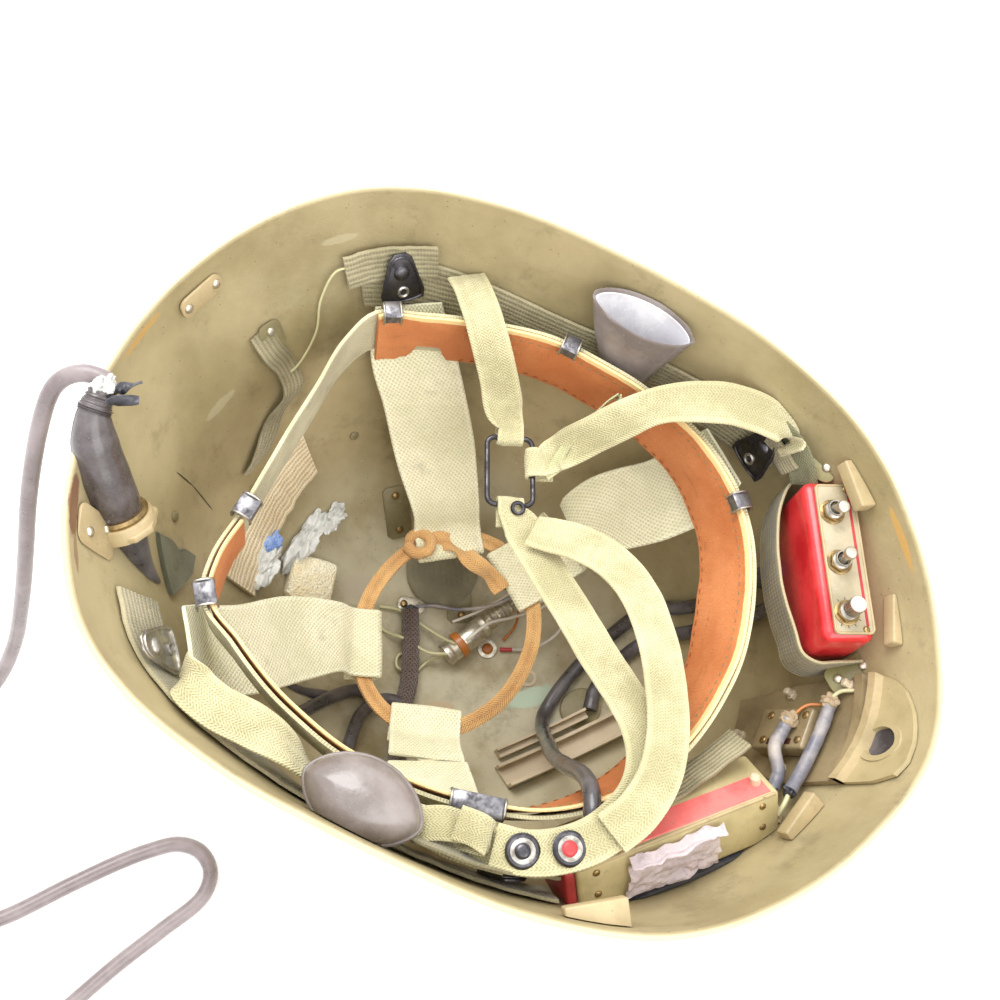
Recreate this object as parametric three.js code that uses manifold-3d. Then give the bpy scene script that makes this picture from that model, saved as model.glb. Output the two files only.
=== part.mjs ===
// Radio operator helmet, lying crown-down with its opening upwards. Millimetres, +Z up.
// +X is the front brim, +Y is the wearer's right. The origin is the crown's resting point.
import * as THREE from "three";
import { mergeVertices } from "three/addons/utils/BufferGeometryUtils.js";
import Module from "manifold-3d";

const wasm = await Module();
wasm.setup();

// Driving dimensions
const WALL = 3;
const CROWN = { lengthRadius: 147, widthRadius: 121, fullness: 2.35, flare: 0.05 };
const CLEAR = 0.35;
const WEB_THICK = 1.6;
const BAND = { top: 158, height: 30, shift: 2, webThick: 2, leatherThick: 1.6, gap: 0.9 };
const CRADLE_WIDTH = 36;
const CHIN_WIDTH = 16;
const LACE = { x: -12, y: -1.5, z: 54, radiusX: 38, radiusY: 47, wide: 5.5, thick: 2.4 };
const CONTROL = { x: 114.5, y: 61.3, z: 164, long: 66, wide: 21, deep: 38, heading: -62.6 };
const FACE = { long: 62, wide: 16.5, thick: 1.2 };
const SWITCH = { nut: 4.4, nutThick: 2.4, bush: 3.6, bushTall: 5, cup: 2.7, ball: 2.2, lever: 9 };
const SWITCH_ROW = -2.5;
const KNOB = { radius: 3.4, tall: 9, shaft: 2.2 };
const RADIO = { x: 94.3, y: -64.7, z: 158.5, long: 92, inner: 24, outer: 23, slope: 50 };
const CORD = { radius: 3.25 };
const COIL = { x: -61, y: -264, outer: 43.2, inner: 22.6, tall: 6.9 };

const COLOURS = {
  shell: 0xa99c78, olive: 0x6f6a49, plate: 0x5d5a42, tan: 0xcdb893, red: 0xc8272c, face: 0xa79c84,
  webbing: 0x9aa06f, ribbed: 0x59603f, pale: 0xcdd0a0, leather: 0xdc8a4e, lace: 0xc07a3c,
  rubber: 0x45464a, black: 0x1f2024, steel: 0x8f9094, silver: 0xb9b6aa, foam: 0xe3d9b4,
  film: 0xe9d9cf, brown: 0x3c2f2a, elastic: 0xa08d68, cord: 0x55504c,
};

// Half outline of the rim, seen from above: heading from the front, radius and height
const RIM = [
  { angle: 0, radius: 166, height: 180 }, { angle: 15, radius: 160, height: 181 },
  { angle: 30, radius: 153, height: 183 }, { angle: 45, radius: 145.5, height: 186 },
  { angle: 60, radius: 135, height: 189 }, { angle: 70, radius: 129.5, height: 191 },
  { angle: 80, radius: 125.5, height: 192 }, { angle: 90, radius: 124.5, height: 192.5 },
  { angle: 100, radius: 126.5, height: 192.5 }, { angle: 110, radius: 132, height: 192 },
  { angle: 120, radius: 139.5, height: 191 }, { angle: 130, radius: 149, height: 189 },
  { angle: 140, radius: 157, height: 187 }, { angle: 150, radius: 160.5, height: 186 },
  { angle: 160, radius: 162.5, height: 184.5 }, { angle: 180, radius: 164, height: 183 },
];

// Half outline of the headband at its top edge; lean is how far its lower edge comes inwards
const HEADBAND = [
  { angle: 0, radius: 95.5, lean: 12 }, { angle: 20, radius: 96, lean: 12 },
  { angle: 40, radius: 98, lean: 9 }, { angle: 60, radius: 98, lean: 5 },
  { angle: 75, radius: 96, lean: 3 }, { angle: 90, radius: 96.5, lean: 2 },
  { angle: 105, radius: 100, lean: 2 }, { angle: 120, radius: 104, lean: 2 },
  { angle: 135, radius: 111, lean: 2 }, { angle: 144, radius: 118, lean: 2 },
  { angle: 152, radius: 114, lean: 1 }, { angle: 164, radius: 104.5, lean: 0 },
  { angle: 180, radius: 101, lean: 0 },
];

const radians = THREE.MathUtils.degToRad;
const degrees = THREE.MathUtils.radToDeg;
const vec = (x, y, z) => new THREE.Vector3(x, y, z);
const heading = (angle, size = 1) => vec(Math.cos(radians(angle)) * size, Math.sin(radians(angle)) * size, 0);

// A column of a table at any angle, smooth between its rows
function tableValue(table, column, angle) {
  const a = Math.abs(((((angle + 180) % 360) + 360) % 360) - 180);
  let i = table.findIndex((row) => row.angle >= a);
  i = Math.max(i, 1);
  const [p, q] = [table[i - 1], table[i]];
  const before = table[Math.max(i - 2, 0)];
  const after = table[Math.min(i + 1, table.length - 1)];
  const u = (a - p.angle) / (q.angle - p.angle);
  const span = q.angle - p.angle;
  const slopeP = before === p ? 0 : (q[column] - before[column]) / (q.angle - before.angle);
  const slopeQ = after === q ? 0 : (after[column] - p[column]) / (after.angle - p.angle);
  const u2 = u * u;
  const u3 = u2 * u;
  return (2 * u3 - 3 * u2 + 1) * p[column] + (u3 - 2 * u2 + u) * span * slopeP
    + (3 * u2 - 2 * u3) * q[column] + (u3 - u2) * span * slopeQ;
}

// The shell's surface: its outline at a fraction of the way from crown to rim
function profileAt(t) {
  const n = CROWN.fullness;
  return (1 - (1 - t) ** n) ** (1 / n) * (1 - CROWN.flare) + CROWN.flare * t ** 5;
}

function outlineRadius(angle, t) {
  const a = radians(angle);
  const round = 1 / Math.hypot(Math.cos(a) / CROWN.lengthRadius, Math.sin(a) / CROWN.widthRadius);
  const blend = THREE.MathUtils.smoothstep(t, 0.55, 1);
  return THREE.MathUtils.lerp(round, tableValue(RIM, "radius", angle), blend);
}

// A point on the surface that lies inset inside the shell's outside
function shellPoint(angle, t, inset) {
  const rim = tableValue(RIM, "height", angle);
  const radius = Math.max(outlineRadius(angle, t) * profileAt(t) - inset * Math.min(t * 12, 1), 0);
  const point = heading(angle, radius);
  point.z = inset + t * (rim - inset);
  return point;
}

// The radius of that surface at a height
function wallRadius(angle, z, inset) {
  const rim = tableValue(RIM, "height", angle);
  const t = THREE.MathUtils.clamp((z - inset) / (rim - inset), 0, 1);
  return outlineRadius(angle, t) * profileAt(t) - inset * Math.min(t * 12, 1);
}

// A point at a height, lifted off the inner wall towards the middle
function wallPoint(angle, z, lift) {
  const point = heading(angle, wallRadius(angle, z, WALL + lift));
  point.z = z;
  return point;
}

// A point over the inner crown at a place in plan, lifted straight up
function crownPoint(x, y, lift) {
  const angle = degrees(Math.atan2(y, x));
  const distance = Math.hypot(x, y);
  let low = WALL;
  let high = 175;
  for (let i = 0; i < 30; i += 1) {
    const middle = (low + high) / 2;
    if (wallRadius(angle, middle, WALL) < distance) low = middle;
    else high = middle;
  }
  return vec(x, y, high + lift);
}

// A closed body lofted through rings that hold the same number of points each
function loft(rings, closed = false) {
  const count = rings[0].length;
  const positions = rings.flat().flatMap((p) => [p.x, p.y, p.z]);
  const index = [];
  const last = closed ? rings.length : rings.length - 1;
  for (let i = 0; i < last; i += 1) {
    const next = (i + 1) % rings.length;
    for (let j = 0; j < count; j += 1) {
      const k = (j + 1) % count;
      index.push(i * count + j, i * count + k, next * count + k);
      index.push(i * count + j, next * count + k, next * count + j);
    }
  }
  if (!closed) {
    for (let j = 1; j < count - 1; j += 1) {
      index.push(0, j + 1, j);
      const base = (rings.length - 1) * count;
      index.push(base, base + j, base + j + 1);
    }
  }
  const geometry = new THREE.BufferGeometry();
  geometry.setAttribute("position", new THREE.Float32BufferAttribute(positions, 3));
  geometry.setIndex(index);
  return facingOut(geometry);
}

// The same body with its faces pointing outwards
function facingOut(geometry) {
  const at = geometry.attributes.position;
  const index = Array.from(geometry.index.array);
  let volume = 0;
  for (let i = 0; i < index.length; i += 3) {
    const [a, b, c] = [0, 1, 2].map((k) => new THREE.Vector3().fromBufferAttribute(at, index[i + k]));
    volume += a.dot(b.cross(c));
  }
  if (volume < 0) {
    for (let i = 0; i < index.length; i += 3) [index[i + 1], index[i + 2]] = [index[i + 2], index[i + 1]];
    geometry.setIndex(index);
  }
  return geometry;
}

function merged(geometry) {
  const plain = geometry.clone();
  plain.deleteAttribute("normal");
  plain.deleteAttribute("uv");
  return mergeVertices(plain, 1e-3);
}

// A geometry as a solid that can be cut and joined, and back again
function solid(geometry) {
  const body = merged(geometry);
  return new wasm.Manifold(new wasm.Mesh({
    numProp: 3,
    vertProperties: new Float32Array(body.attributes.position.array),
    triVerts: new Uint32Array(body.index.array),
  }));
}

function geometryOf(body) {
  const mesh = body.getMesh();
  const geometry = new THREE.BufferGeometry();
  geometry.setAttribute("position", new THREE.BufferAttribute(new Float32Array(mesh.vertProperties), 3));
  geometry.setIndex(new THREE.BufferAttribute(new Uint32Array(mesh.triVerts), 1));
  return geometry;
}

const cut = (a, b) => geometryOf(solid(a).subtract(solid(b)));
const join = (a, b) => geometryOf(solid(a).add(solid(b)));

// Shell
const AROUND = 60;
const UP = [0.009, 0.024, 0.06, 0.12, 0.2, 0.3, 0.42, 0.56, 0.7, 0.82, 0.92, 1];

function shellRings(inset) {
  return UP.map((t) => Array.from({ length: AROUND }, (_, j) => {
    const angle = (j / AROUND) * 360 - 180;
    const point = shellPoint(angle, t, inset);
    if (t === UP[0]) point.z = inset;
    return point;
  }));
}

// The space inside the shell, down to a given gap from its wall, open past the rim
function hollow(gap) {
  const rings = shellRings(WALL + gap);
  const top = rings[rings.length - 1].map((p) => vec(p.x, p.y, p.z + 30));
  return loft([...rings, top]);
}

const FRONT_HOLE = { y: 1, z: 159, radius: 4.8 };

function shellGeometry() {
  const walls = loft([...shellRings(0), ...shellRings(WALL).reverse()]);
  const drill = new THREE.CylinderGeometry(FRONT_HOLE.radius, FRONT_HOLE.radius, 60, 24);
  drill.rotateZ(Math.PI / 2);
  drill.translate(155, FRONT_HOLE.y, FRONT_HOLE.z);
  return cut(walls, drill);
}

const SEAT_GAP = 0.6;
const room = solid(hollow(SEAT_GAP));
const fitted = (geometry) => geometryOf(solid(geometry).intersect(room));

// The wall and a little air on both sides of it, rim included
function wallWithAir() {
  const lift = (rings) => [...rings, rings[rings.length - 1].map((p) => vec(p.x, p.y, p.z + SEAT_GAP))];
  return loft([...lift(shellRings(-SEAT_GAP)), ...lift(shellRings(WALL + SEAT_GAP)).reverse()]);
}

// A skin of even thickness on the inner wall, as large as the block that it is taken from
function wallSkin(block, near, far) {
  const layer = solid(hollow(near)).subtract(solid(hollow(far)));
  return geometryOf(solid(block).intersect(layer));
}

// Shapes
function outlineShape(points) {
  return new THREE.Shape(points.map(([x, y]) => new THREE.Vector2(x, y)));
}

function roundedRectangle(wide, tall, radius) {
  const [w, h] = [wide / 2, tall / 2];
  const shape = new THREE.Shape();
  shape.moveTo(-w + radius, -h);
  shape.lineTo(w - radius, -h);
  shape.absarc(w - radius, -h + radius, radius, -Math.PI / 2, 0);
  shape.lineTo(w, h - radius);
  shape.absarc(w - radius, h - radius, radius, 0, Math.PI / 2);
  shape.lineTo(-w + radius, h);
  shape.absarc(-w + radius, h - radius, radius, Math.PI / 2, Math.PI);
  shape.lineTo(-w, -h + radius);
  shape.absarc(-w + radius, -h + radius, radius, Math.PI, Math.PI * 1.5);
  return shape;
}

function slab(shape, depth, curveSegments = 4) {
  return merged(new THREE.ExtrudeGeometry(shape, { depth, bevelEnabled: false, curveSegments }));
}

function block(x0, x1, y0, y1, z0, z1) {
  const box = new THREE.BoxGeometry(x1 - x0, y1 - y0, z1 - z0);
  box.translate((x0 + x1) / 2, (y0 + y1) / 2, (z0 + z1) / 2);
  return merged(box);
}

function turned(profile, segments) {
  const points = profile.map(([r, z]) => new THREE.Vector2(r, z));
  const lathe = new THREE.LatheGeometry(points, segments);
  lathe.rotateX(Math.PI / 2);
  return facingOut(merged(lathe));
}

// A matrix from an origin and the directions of its x and z axes
function frameAt(origin, xAxis, zAxis) {
  const z = zAxis.clone().normalize();
  const y = z.clone().cross(xAxis).normalize();
  const x = y.clone().cross(z);
  return new THREE.Matrix4().makeBasis(x, y, z).setPosition(origin);
}

// A frame on the inner wall: x level along the wall, y up it, z towards the middle
function wallFrame(angle, z, lift) {
  const step = 4;
  const low = wallPoint(angle, z - step, 0);
  const high = wallPoint(angle, z + step, 0);
  const up = high.sub(low).normalize();
  const level = heading(angle + 90).negate();
  const inward = level.clone().cross(up).normalize();
  const origin = wallPoint(angle, z, 0).addScaledVector(inward, lift);
  return frameAt(origin, level, inward);
}

function tube(points, radius, steps, sides) {
  const path = new THREE.CatmullRomCurve3(points, false, "centripetal");
  const section = outlineShape(Array.from({ length: sides }, (_, i) => {
    const a = (i / sides) * Math.PI * 2;
    return [Math.cos(a) * radius, Math.sin(a) * radius];
  }));
  return merged(new THREE.ExtrudeGeometry(section, { steps, extrudePath: path, curveSegments: 1 }));
}

// A flat strap through rows of centre x, y, z, the heading and tilt of its width, and wide where it narrows
function strap(rows, width, thick, steps) {
  const path = new THREE.CatmullRomCurve3(rows.map((r) => vec(r.x, r.y, r.z)), false, "centripetal");
  const widths = new THREE.CatmullRomCurve3(rows.map((r) => {
    const flat = Math.cos(radians(r.tilt ?? 0));
    return heading(r.across, flat).setZ(Math.sin(radians(r.tilt ?? 0)));
  }), false, "centripetal");
  const spans = rows.map((r) => r.wide ?? width);
  const rings = [];
  for (let i = 0; i <= steps; i += 1) {
    const u = i / steps;
    const row = Math.min(Math.floor(u * (rows.length - 1)), rows.length - 2);
    const span = THREE.MathUtils.lerp(spans[row], spans[row + 1], u * (rows.length - 1) - row);
    const place = path.getPoint(u);
    const along = path.getTangent(u);
    const across = widths.getPoint(u);
    across.addScaledVector(along, -across.dot(along)).normalize();
    const normal = along.clone().cross(across).multiplyScalar(thick / 2);
    across.multiplyScalar(span / 2);
    rings.push([
      place.clone().add(across).add(normal), place.clone().sub(across).add(normal),
      place.clone().sub(across).sub(normal), place.clone().add(across).sub(normal),
    ]);
  }
  return loft(rings);
}

// A band of webbing on the inner wall through rows of heading and height
function wallBand(rows, width, lift, steps) {
  const line = new THREE.CatmullRomCurve3(rows.map((r) => vec(r.angle, r.z, 0)), false, "centripetal");
  const rings = [];
  for (let i = 0; i <= steps; i += 1) {
    const at = line.getPoint(i / steps);
    const [low, high] = [at.y - width / 2, at.y + width / 2];
    rings.push([
      wallPoint(at.x, high, lift), wallPoint(at.x, low, lift),
      wallPoint(at.x, low, lift + WEB_THICK), wallPoint(at.x, high, lift + WEB_THICK),
    ]);
  }
  return loft(rings);
}

// Headband: rings of the band between two distances inside its outline
function headbandRing(angle, near, far, top, bottom) {
  const radius = tableValue(HEADBAND, "radius", angle);
  const lean = tableValue(HEADBAND, "lean", angle) / BAND.height;
  const at = (distance, z) => {
    const point = heading(angle, radius - distance - (BAND.top - z) * lean);
    point.y += BAND.shift;
    return point.setZ(z);
  };
  return [at(near, top), at(far, top), at(far, bottom), at(near, bottom)];
}

function headbandLoop(near, far, top, bottom, from, to, steps, closed) {
  const rings = [];
  const count = closed ? steps : steps + 1;
  for (let i = 0; i < count; i += 1) {
    rings.push(headbandRing(from + ((to - from) * i) / steps, near, far, top, bottom));
  }
  return loft(rings, closed);
}

const object = new THREE.Group();

function add(name, geometry, colour, finish = {}) {
  const { roughness = 0.8, metalness = 0, frame = null } = finish;
  const material = new THREE.MeshStandardMaterial({ color: COLOURS[colour], roughness, metalness });
  const mesh = new THREE.Mesh(geometry, material);
  mesh.name = name;
  if (frame) frame.decompose(mesh.position, mesh.quaternion, mesh.scale);
  object.add(mesh);
  return mesh;
}

// Shell and what is fixed to its front wall
add("shell", shellGeometry(), "shell", { roughness: 0.6 });

const PLATE_THICK = 2.6;

function junctionPlate() {
  const outline = [[-20, 124], [-17, 148], [27, 148], [20, 84], [-4, 84]];
  const prism = slab(outlineShape(outline), 90);
  prism.rotateX(Math.PI / 2);
  prism.rotateZ(Math.PI / 2);
  prism.translate(90, 0, 0);
  return wallSkin(prism, CLEAR, CLEAR + PLATE_THICK);
}

const aboveJunction = 2 * CLEAR + PLATE_THICK;
const flange = wallSkin(block(90, 170, -17, 27, 147.5, 151), CLEAR, CLEAR + 9);
add("junction_plate", join(junctionPlate(), flange), "plate", { roughness: 0.5 });
add("junction_block", wallSkin(block(90, 170, -7, 11, 106, 134), aboveJunction, aboveJunction + 8), "plate");

const LEADS = [
  [[6.2, 139.8, 1], [3, 138.6, 1], [-1, 137.6, 1], [-6, 138, 1], [-11, 140, 1]],
  [[1.6, 132.5, 8.5], [-1.2, 131.4, 8.5], [-4.2, 130.6, 7.9], [-8, 131, 2.5], [-12, 132.6, 1]],
];
const LEAD_RADIUS = 2.9;
LEADS.forEach((rows, i) => {
  const route = rows.map(([angle, z, lift]) => wallPoint(angle, z, aboveJunction + LEAD_RADIUS + lift));
  add(`junction_lead_${i + 1}`, tube(route, LEAD_RADIUS, 14, 8), "rubber");
});

// Control unit: a case with a face plate, two switches and a volume knob
const controlFrame = frameAt(vec(CONTROL.x, CONTROL.y, CONTROL.z), heading(CONTROL.heading), vec(0, 0, 1));

function inFrame(geometry, frame) {
  const placed = geometry.clone();
  placed.applyMatrix4(frame);
  return placed;
}

function controlCase() {
  const shape = roundedRectangle(CONTROL.long, CONTROL.wide, 4);
  const body = slab(shape, CONTROL.deep);
  body.translate(0, -1.5, -CONTROL.deep);
  return fitted(inFrame(body, controlFrame));
}

add("control_case", controlCase(), "red", { roughness: 0.4 });

const SWITCHES = [
  { name: "upper_toggle", along: -19, tilt: 15 },
  { name: "middle_toggle", along: 2, tilt: 0 },
];
const KNOB_ALONG = 22.5;

function faceGeometry() {
  let plate = slab(roundedRectangle(FACE.long, FACE.wide, 2), FACE.thick);
  for (const along of [...SWITCHES.map((s) => s.along), KNOB_ALONG]) {
    const nut = new THREE.CylinderGeometry(SWITCH.nut, SWITCH.nut, SWITCH.nutThick, 6);
    nut.rotateX(Math.PI / 2);
    nut.translate(along, SWITCH_ROW, FACE.thick + SWITCH.nutThick / 2 - 0.1);
    const bush = new THREE.CylinderGeometry(SWITCH.bush, SWITCH.bush, SWITCH.bushTall, 12);
    bush.rotateX(Math.PI / 2);
    bush.translate(along, SWITCH_ROW, FACE.thick + SWITCH.bushTall / 2 - 0.1);
    plate = join(join(plate, nut), bush);
    const bore = new THREE.CylinderGeometry(SWITCH.cup, SWITCH.cup, SWITCH.bushTall, 12);
    bore.rotateX(Math.PI / 2);
    bore.translate(along, SWITCH_ROW, FACE.thick + SWITCH.bushTall / 2 + 0.6);
    plate = cut(plate, bore);
  }
  plate.translate(0, 0, CLEAR);
  return fitted(inFrame(plate, controlFrame));
}

add("control_face", faceGeometry(), "face", { roughness: 0.5 });

// A switch lever turns about the ball at its foot, inside the bush
const PIVOT = CLEAR + FACE.thick + 3.4;

function controlPoint(along, across, up) {
  return vec(along, across, up).applyMatrix4(controlFrame);
}

function leverGeometry() {
  const ball = SWITCH.ball;
  const tip = 2.5;
  return turned([
    [0, -ball], [ball * 0.72, -ball * 0.7], [ball, 0], [1.5, 1.6], [1.5, SWITCH.lever - 4],
    [tip, SWITCH.lever - 3], [tip, SWITCH.lever - 0.8], [1.5, SWITCH.lever], [0, SWITCH.lever],
  ], 12);
}

for (const item of SWITCHES) {
  const tilt = radians(item.tilt);
  const along = heading(CONTROL.heading);
  const lever = along.clone().multiplyScalar(Math.sin(tilt)).setZ(Math.cos(tilt));
  const frame = frameAt(controlPoint(item.along, SWITCH_ROW, PIVOT), heading(CONTROL.heading + 90), lever);
  add(item.name, leverGeometry(), "steel", { roughness: 0.45, frame });
}

function knobGeometry() {
  const { radius, tall } = KNOB;
  return turned([
    [0, -KNOB.shaft], [KNOB.shaft, -KNOB.shaft], [KNOB.shaft, 2.2], [radius, 2.2], [radius, tall - 1],
    [radius - 0.8, tall], [0, tall],
  ], 16);
}

add("volume_knob", knobGeometry(), "steel", {
  roughness: 0.4, metalness: 0.6,
  frame: frameAt(controlPoint(KNOB_ALONG, SWITCH_ROW, PIVOT), heading(0), vec(0, 0, 1)),
});

// The elastic band that holds the case against the wall
const CONTROL_BAND = [
  { x: 92, y: 97.5, z: 142, across: 0, tilt: 90 }, { x: 87, y: 88, z: 141, across: 0, tilt: 90 },
  { x: 87.5, y: 76, z: 140, across: 0, tilt: 90 }, { x: 91, y: 64, z: 140, across: 0, tilt: 90 },
  { x: 99, y: 47, z: 140, across: 0, tilt: 90 }, { x: 111, y: 31.5, z: 139, across: 0, tilt: 90 },
  { x: 117, y: 25, z: 138, across: 0, tilt: 90 }, { x: 124, y: 24.6, z: 137.5, across: 0, tilt: 90 },
  { x: 132, y: 29.2, z: 137, across: 0, tilt: 90 }, { x: 140.5, y: 34, z: 137, across: 0, tilt: 90 },
];
add("control_band", fitted(strap(CONTROL_BAND, 20, 1.4, 24)), "elastic");

// Plates on the wall that clamp the two cases
const CLAMPS = [
  { name: "control_clamp_1", angle: 39.8, z: 171, long: 20, wide: 6, deep: 6 },
  { name: "control_clamp_2", angle: 18.5, z: 163, long: 20, wide: 6, deep: 3.6 },
  { name: "radio_clamp_1", angle: -55, z: 178, long: 22, wide: 6, deep: 7 },
  { name: "radio_clamp_2", angle: -14.5, z: 146, long: 19, wide: 8, deep: 7 },
];
for (const clamp of CLAMPS) {
  const frame = wallFrame(clamp.angle, clamp.z, 0);
  const plate = block(-clamp.long / 2, clamp.long / 2, -clamp.wide / 2, clamp.wide / 2, -4, clamp.deep);
  add(clamp.name, fitted(inFrame(plate, frame)), "tan");
}

// Transceiver: a long case set at a slope against the front left wall, on a plain bracket
function radioPoint(along, inward, outward) {
  const u = vec(64, 67.4, -13).normalize();
  const n = vec(-u.y, u.x, 0).normalize();
  const [s, c] = [Math.sin(radians(RADIO.slope)), Math.cos(radians(RADIO.slope))];
  return vec(RADIO.x, RADIO.y, RADIO.z).addScaledVector(u, along)
    .add(n.clone().multiplyScalar(s).setZ(-c).multiplyScalar(inward))
    .add(n.clone().multiplyScalar(-c).setZ(-s).multiplyScalar(outward));
}

function radioBlock(from, to, in0, in1, out0, out1) {
  return loft([from, to].map((along) => [
    radioPoint(along, in0, out0), radioPoint(along, in1, out0),
    radioPoint(along, in1, out1), radioPoint(along, in0, out1),
  ]));
}

const half = RADIO.long / 2;
const END_THICK = 4;
const caseBlock = radioBlock(-half + END_THICK + CLEAR, half, 0, RADIO.inner, 0, RADIO.outer);
add("radio_case", fitted(caseBlock), "olive");
add("radio_end", fitted(radioBlock(-half, -half + END_THICK, 0.5, RADIO.inner, 0.5, RADIO.outer)), "red");
const bracketBlock = radioBlock(-28, 30, 3, RADIO.inner - 3, RADIO.outer + CLEAR, RADIO.outer + 45);
add("radio_bracket", fitted(bracketBlock), "plate");

// Headband webbing, leather sweatband and the wire clips on its top edge
const webNear = 0;
const webFar = BAND.webThick;
const leatherNear = webFar + BAND.gap;
const leatherFar = leatherNear + BAND.leatherThick;
const bandBottom = BAND.top - BAND.height;
const webLoop = headbandLoop(webNear, webFar, BAND.top - 1, bandBottom + 2, -180, 180, 60, true);
add("headband_web", webLoop, "webbing");
const leatherLoop = headbandLoop(leatherNear, leatherFar, BAND.top + 0.5, bandBottom, -144, 144, 48, false);
add("sweatband", leatherLoop, "leather");

const CLIPS = [141, 101, 43, -74, -145, -163];

function clipGeometry(wide) {
  const reach = leatherFar - webNear + 2 * 1.05;
  const wire = 0.9;
  const [outer, inner] = [reach / 2 + wire, reach / 2];
  const shape = outlineShape([
    [-outer, -8], [-inner, -8], [-inner, 0], [inner, 0],
    [inner, -6], [outer, -6], [outer, wire], [-outer, wire],
  ]);
  const clip = slab(shape, wide);
  clip.translate(0, 0, -wide / 2);
  return clip;
}

CLIPS.forEach((angle, i) => {
  const ring = headbandRing(angle, webNear, leatherFar, BAND.top, bandBottom);
  const ahead = headbandRing(angle + 1, webNear, leatherFar, BAND.top, bandBottom);
  const along = ahead[0].clone().sub(ring[0]).normalize();
  const middle = ring[0].clone().add(ring[1]).multiplyScalar(0.5).setZ(BAND.top + 0.9);
  const down = ring[2].clone().sub(ring[1]);
  down.addScaledVector(along, -down.dot(along)).normalize();
  const frame = frameAt(middle, along.clone().cross(down), along);
  add(`headband_clip_${i + 1}`, clipGeometry(8), "steel", { roughness: 0.35, metalness: 0.7, frame });
});

// Hanger bands on the wall and the triangular washers that rivet them down
const HANGER_LIFT = 0.8;
const HANGERS = [
  {
    name: "hanger_right", width: 22, steps: 20,
    rows: [[142, 150], [126, 146], [104, 140], [80, 143], [51, 150]],
  },
  {
    name: "hanger_left", width: 22, steps: 20,
    rows: [[-148, 148], [-131, 150], [-104, 142], [-80, 142], [-58, 146]],
  },
];
for (const hanger of HANGERS) {
  const rows = hanger.rows.map(([angle, z]) => ({ angle, z }));
  add(hanger.name, fitted(wallBand(rows, hanger.width, HANGER_LIFT, hanger.steps)), "ribbed");
}

const WASHERS = [
  { name: "washer_rear_right", angle: 135.5, z: 151, colour: "black", lift: 3.3 },
  { name: "washer_rear_left", angle: -138.2, z: 152, colour: "steel", lift: 3.3 },
  { name: "washer_front_right", angle: 54, z: 147.6, colour: "black", lift: 3.2 },
  { name: "washer_front_left", angle: -66, z: 147, colour: "black", lift: 2.5 },
];
const WASHER_SHAPE = [
  [-9, -10], [9, -10], [9.5, -6], [5, 10], [2.5, 12.5], [-2.5, 12.5], [-5, 10], [-9.5, -6],
];
for (const washer of WASHERS) {
  const frame = wallFrame(washer.angle, washer.z, HANGER_LIFT + WEB_THICK + washer.lift);
  const finish = { roughness: 0.4, metalness: 0.5, frame };
  add(washer.name, slab(outlineShape(WASHER_SHAPE), 1.3), washer.colour, finish);
}

// Cradle straps: from the wall, under the headband and in to the lace, each ending in a hem
const HEM = { drop: 2.35, inner: 9.8, outer: 6, wide: 30 };

function lacePoint(angle, grow, z) {
  const [c, n] = [Math.cos(radians(angle)), Math.sin(radians(angle))];
  return vec(LACE.x + c * (LACE.radiusX + grow), LACE.y + n * (LACE.radiusY + grow), LACE.z + z);
}

function cradleRows({ rows, lace }) {
  const middle = lacePoint(lace, 0, 0);
  const along = lacePoint(lace + 1, 0, 0).sub(middle).normalize();
  const across = degrees(Math.atan2(along.y, along.x)) + (rows[0].across > 0 ? 180 : 0);
  const at = (out, z) => ({
    x: middle.x + along.y * out, y: middle.y - along.x * out, z: LACE.z + z, across, wide: HEM.wide,
  });
  return [...rows, at(8, HEM.drop + 1.4), at(2, HEM.drop + 0.2), at(-5, HEM.drop), at(1.2 - HEM.inner, 1.7),
    at(-HEM.inner, 0), at(1.2 - HEM.inner, -1.7), at(-5, -HEM.drop), at(HEM.outer, -HEM.drop)];
}

const CRADLES = [
  {
    lace: 121,
    rows: [
      { x: -87, y: 88.5, z: 143, across: 25, wide: 28 }, { x: -78, y: 79, z: 124, across: 26 },
      { x: -67, y: 71, z: 109, across: 28 }, { x: -52, y: 60, z: 84, across: 32 },
      { x: -44.5, y: 54, z: 68, across: 32 },
    ],
  },
  {
    lace: -149,
    rows: [
      { x: -93, y: -80, z: 145, across: -54, wide: 28 }, { x: -88, y: -74, z: 125, across: -55 },
      { x: -79, y: -64, z: 109, across: -57 }, { x: -66, y: -43, z: 82, across: -60 },
      { x: -58.5, y: -33.5, z: 66, across: -61 },
    ],
  },
  {
    lace: -74,
    rows: [
      { x: 25, y: -101, z: 140, across: 24, wide: 28 }, { x: 22, y: -94, z: 122, across: 26 },
      { x: 17, y: -86, z: 108, across: 28 }, { x: 9, y: -70, z: 82, across: 22 },
      { x: 4, y: -60, z: 66, across: 18 },
    ],
  },
  {
    lace: 60,
    rows: [
      { x: 59, y: 93, z: 140, across: -38, wide: 28 }, { x: 54, y: 86, z: 122, across: -42 },
      { x: 45, y: 77, z: 110, across: -46 }, { x: 26, y: 67, z: 88, across: -44 },
      { x: 16, y: 55, z: 69, across: -36 },
    ],
  },
];
CRADLES.forEach((cradle, i) => {
  const geometry = strap(cradleRows(cradle), CRADLE_WIDTH, WEB_THICK, 26);
  add(`cradle_strap_${i + 1}`, fitted(geometry), "webbing");
});

// Lace that draws the cradle straps together
function laceGeometry() {
  const rings = Array.from({ length: 48 }, (_, i) => {
    const angle = (i / 48) * 360;
    const [w, h] = [LACE.wide / 2, LACE.thick / 2];
    return [[w, h * 0.4], [w * 0.6, h], [-w * 0.6, h], [-w, h * 0.4],
      [-w, -h * 0.4], [-w * 0.6, -h], [w * 0.6, -h], [w, -h * 0.4]].map(([g, z]) => lacePoint(angle, g, z));
  });
  return loft(rings, true);
}

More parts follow.
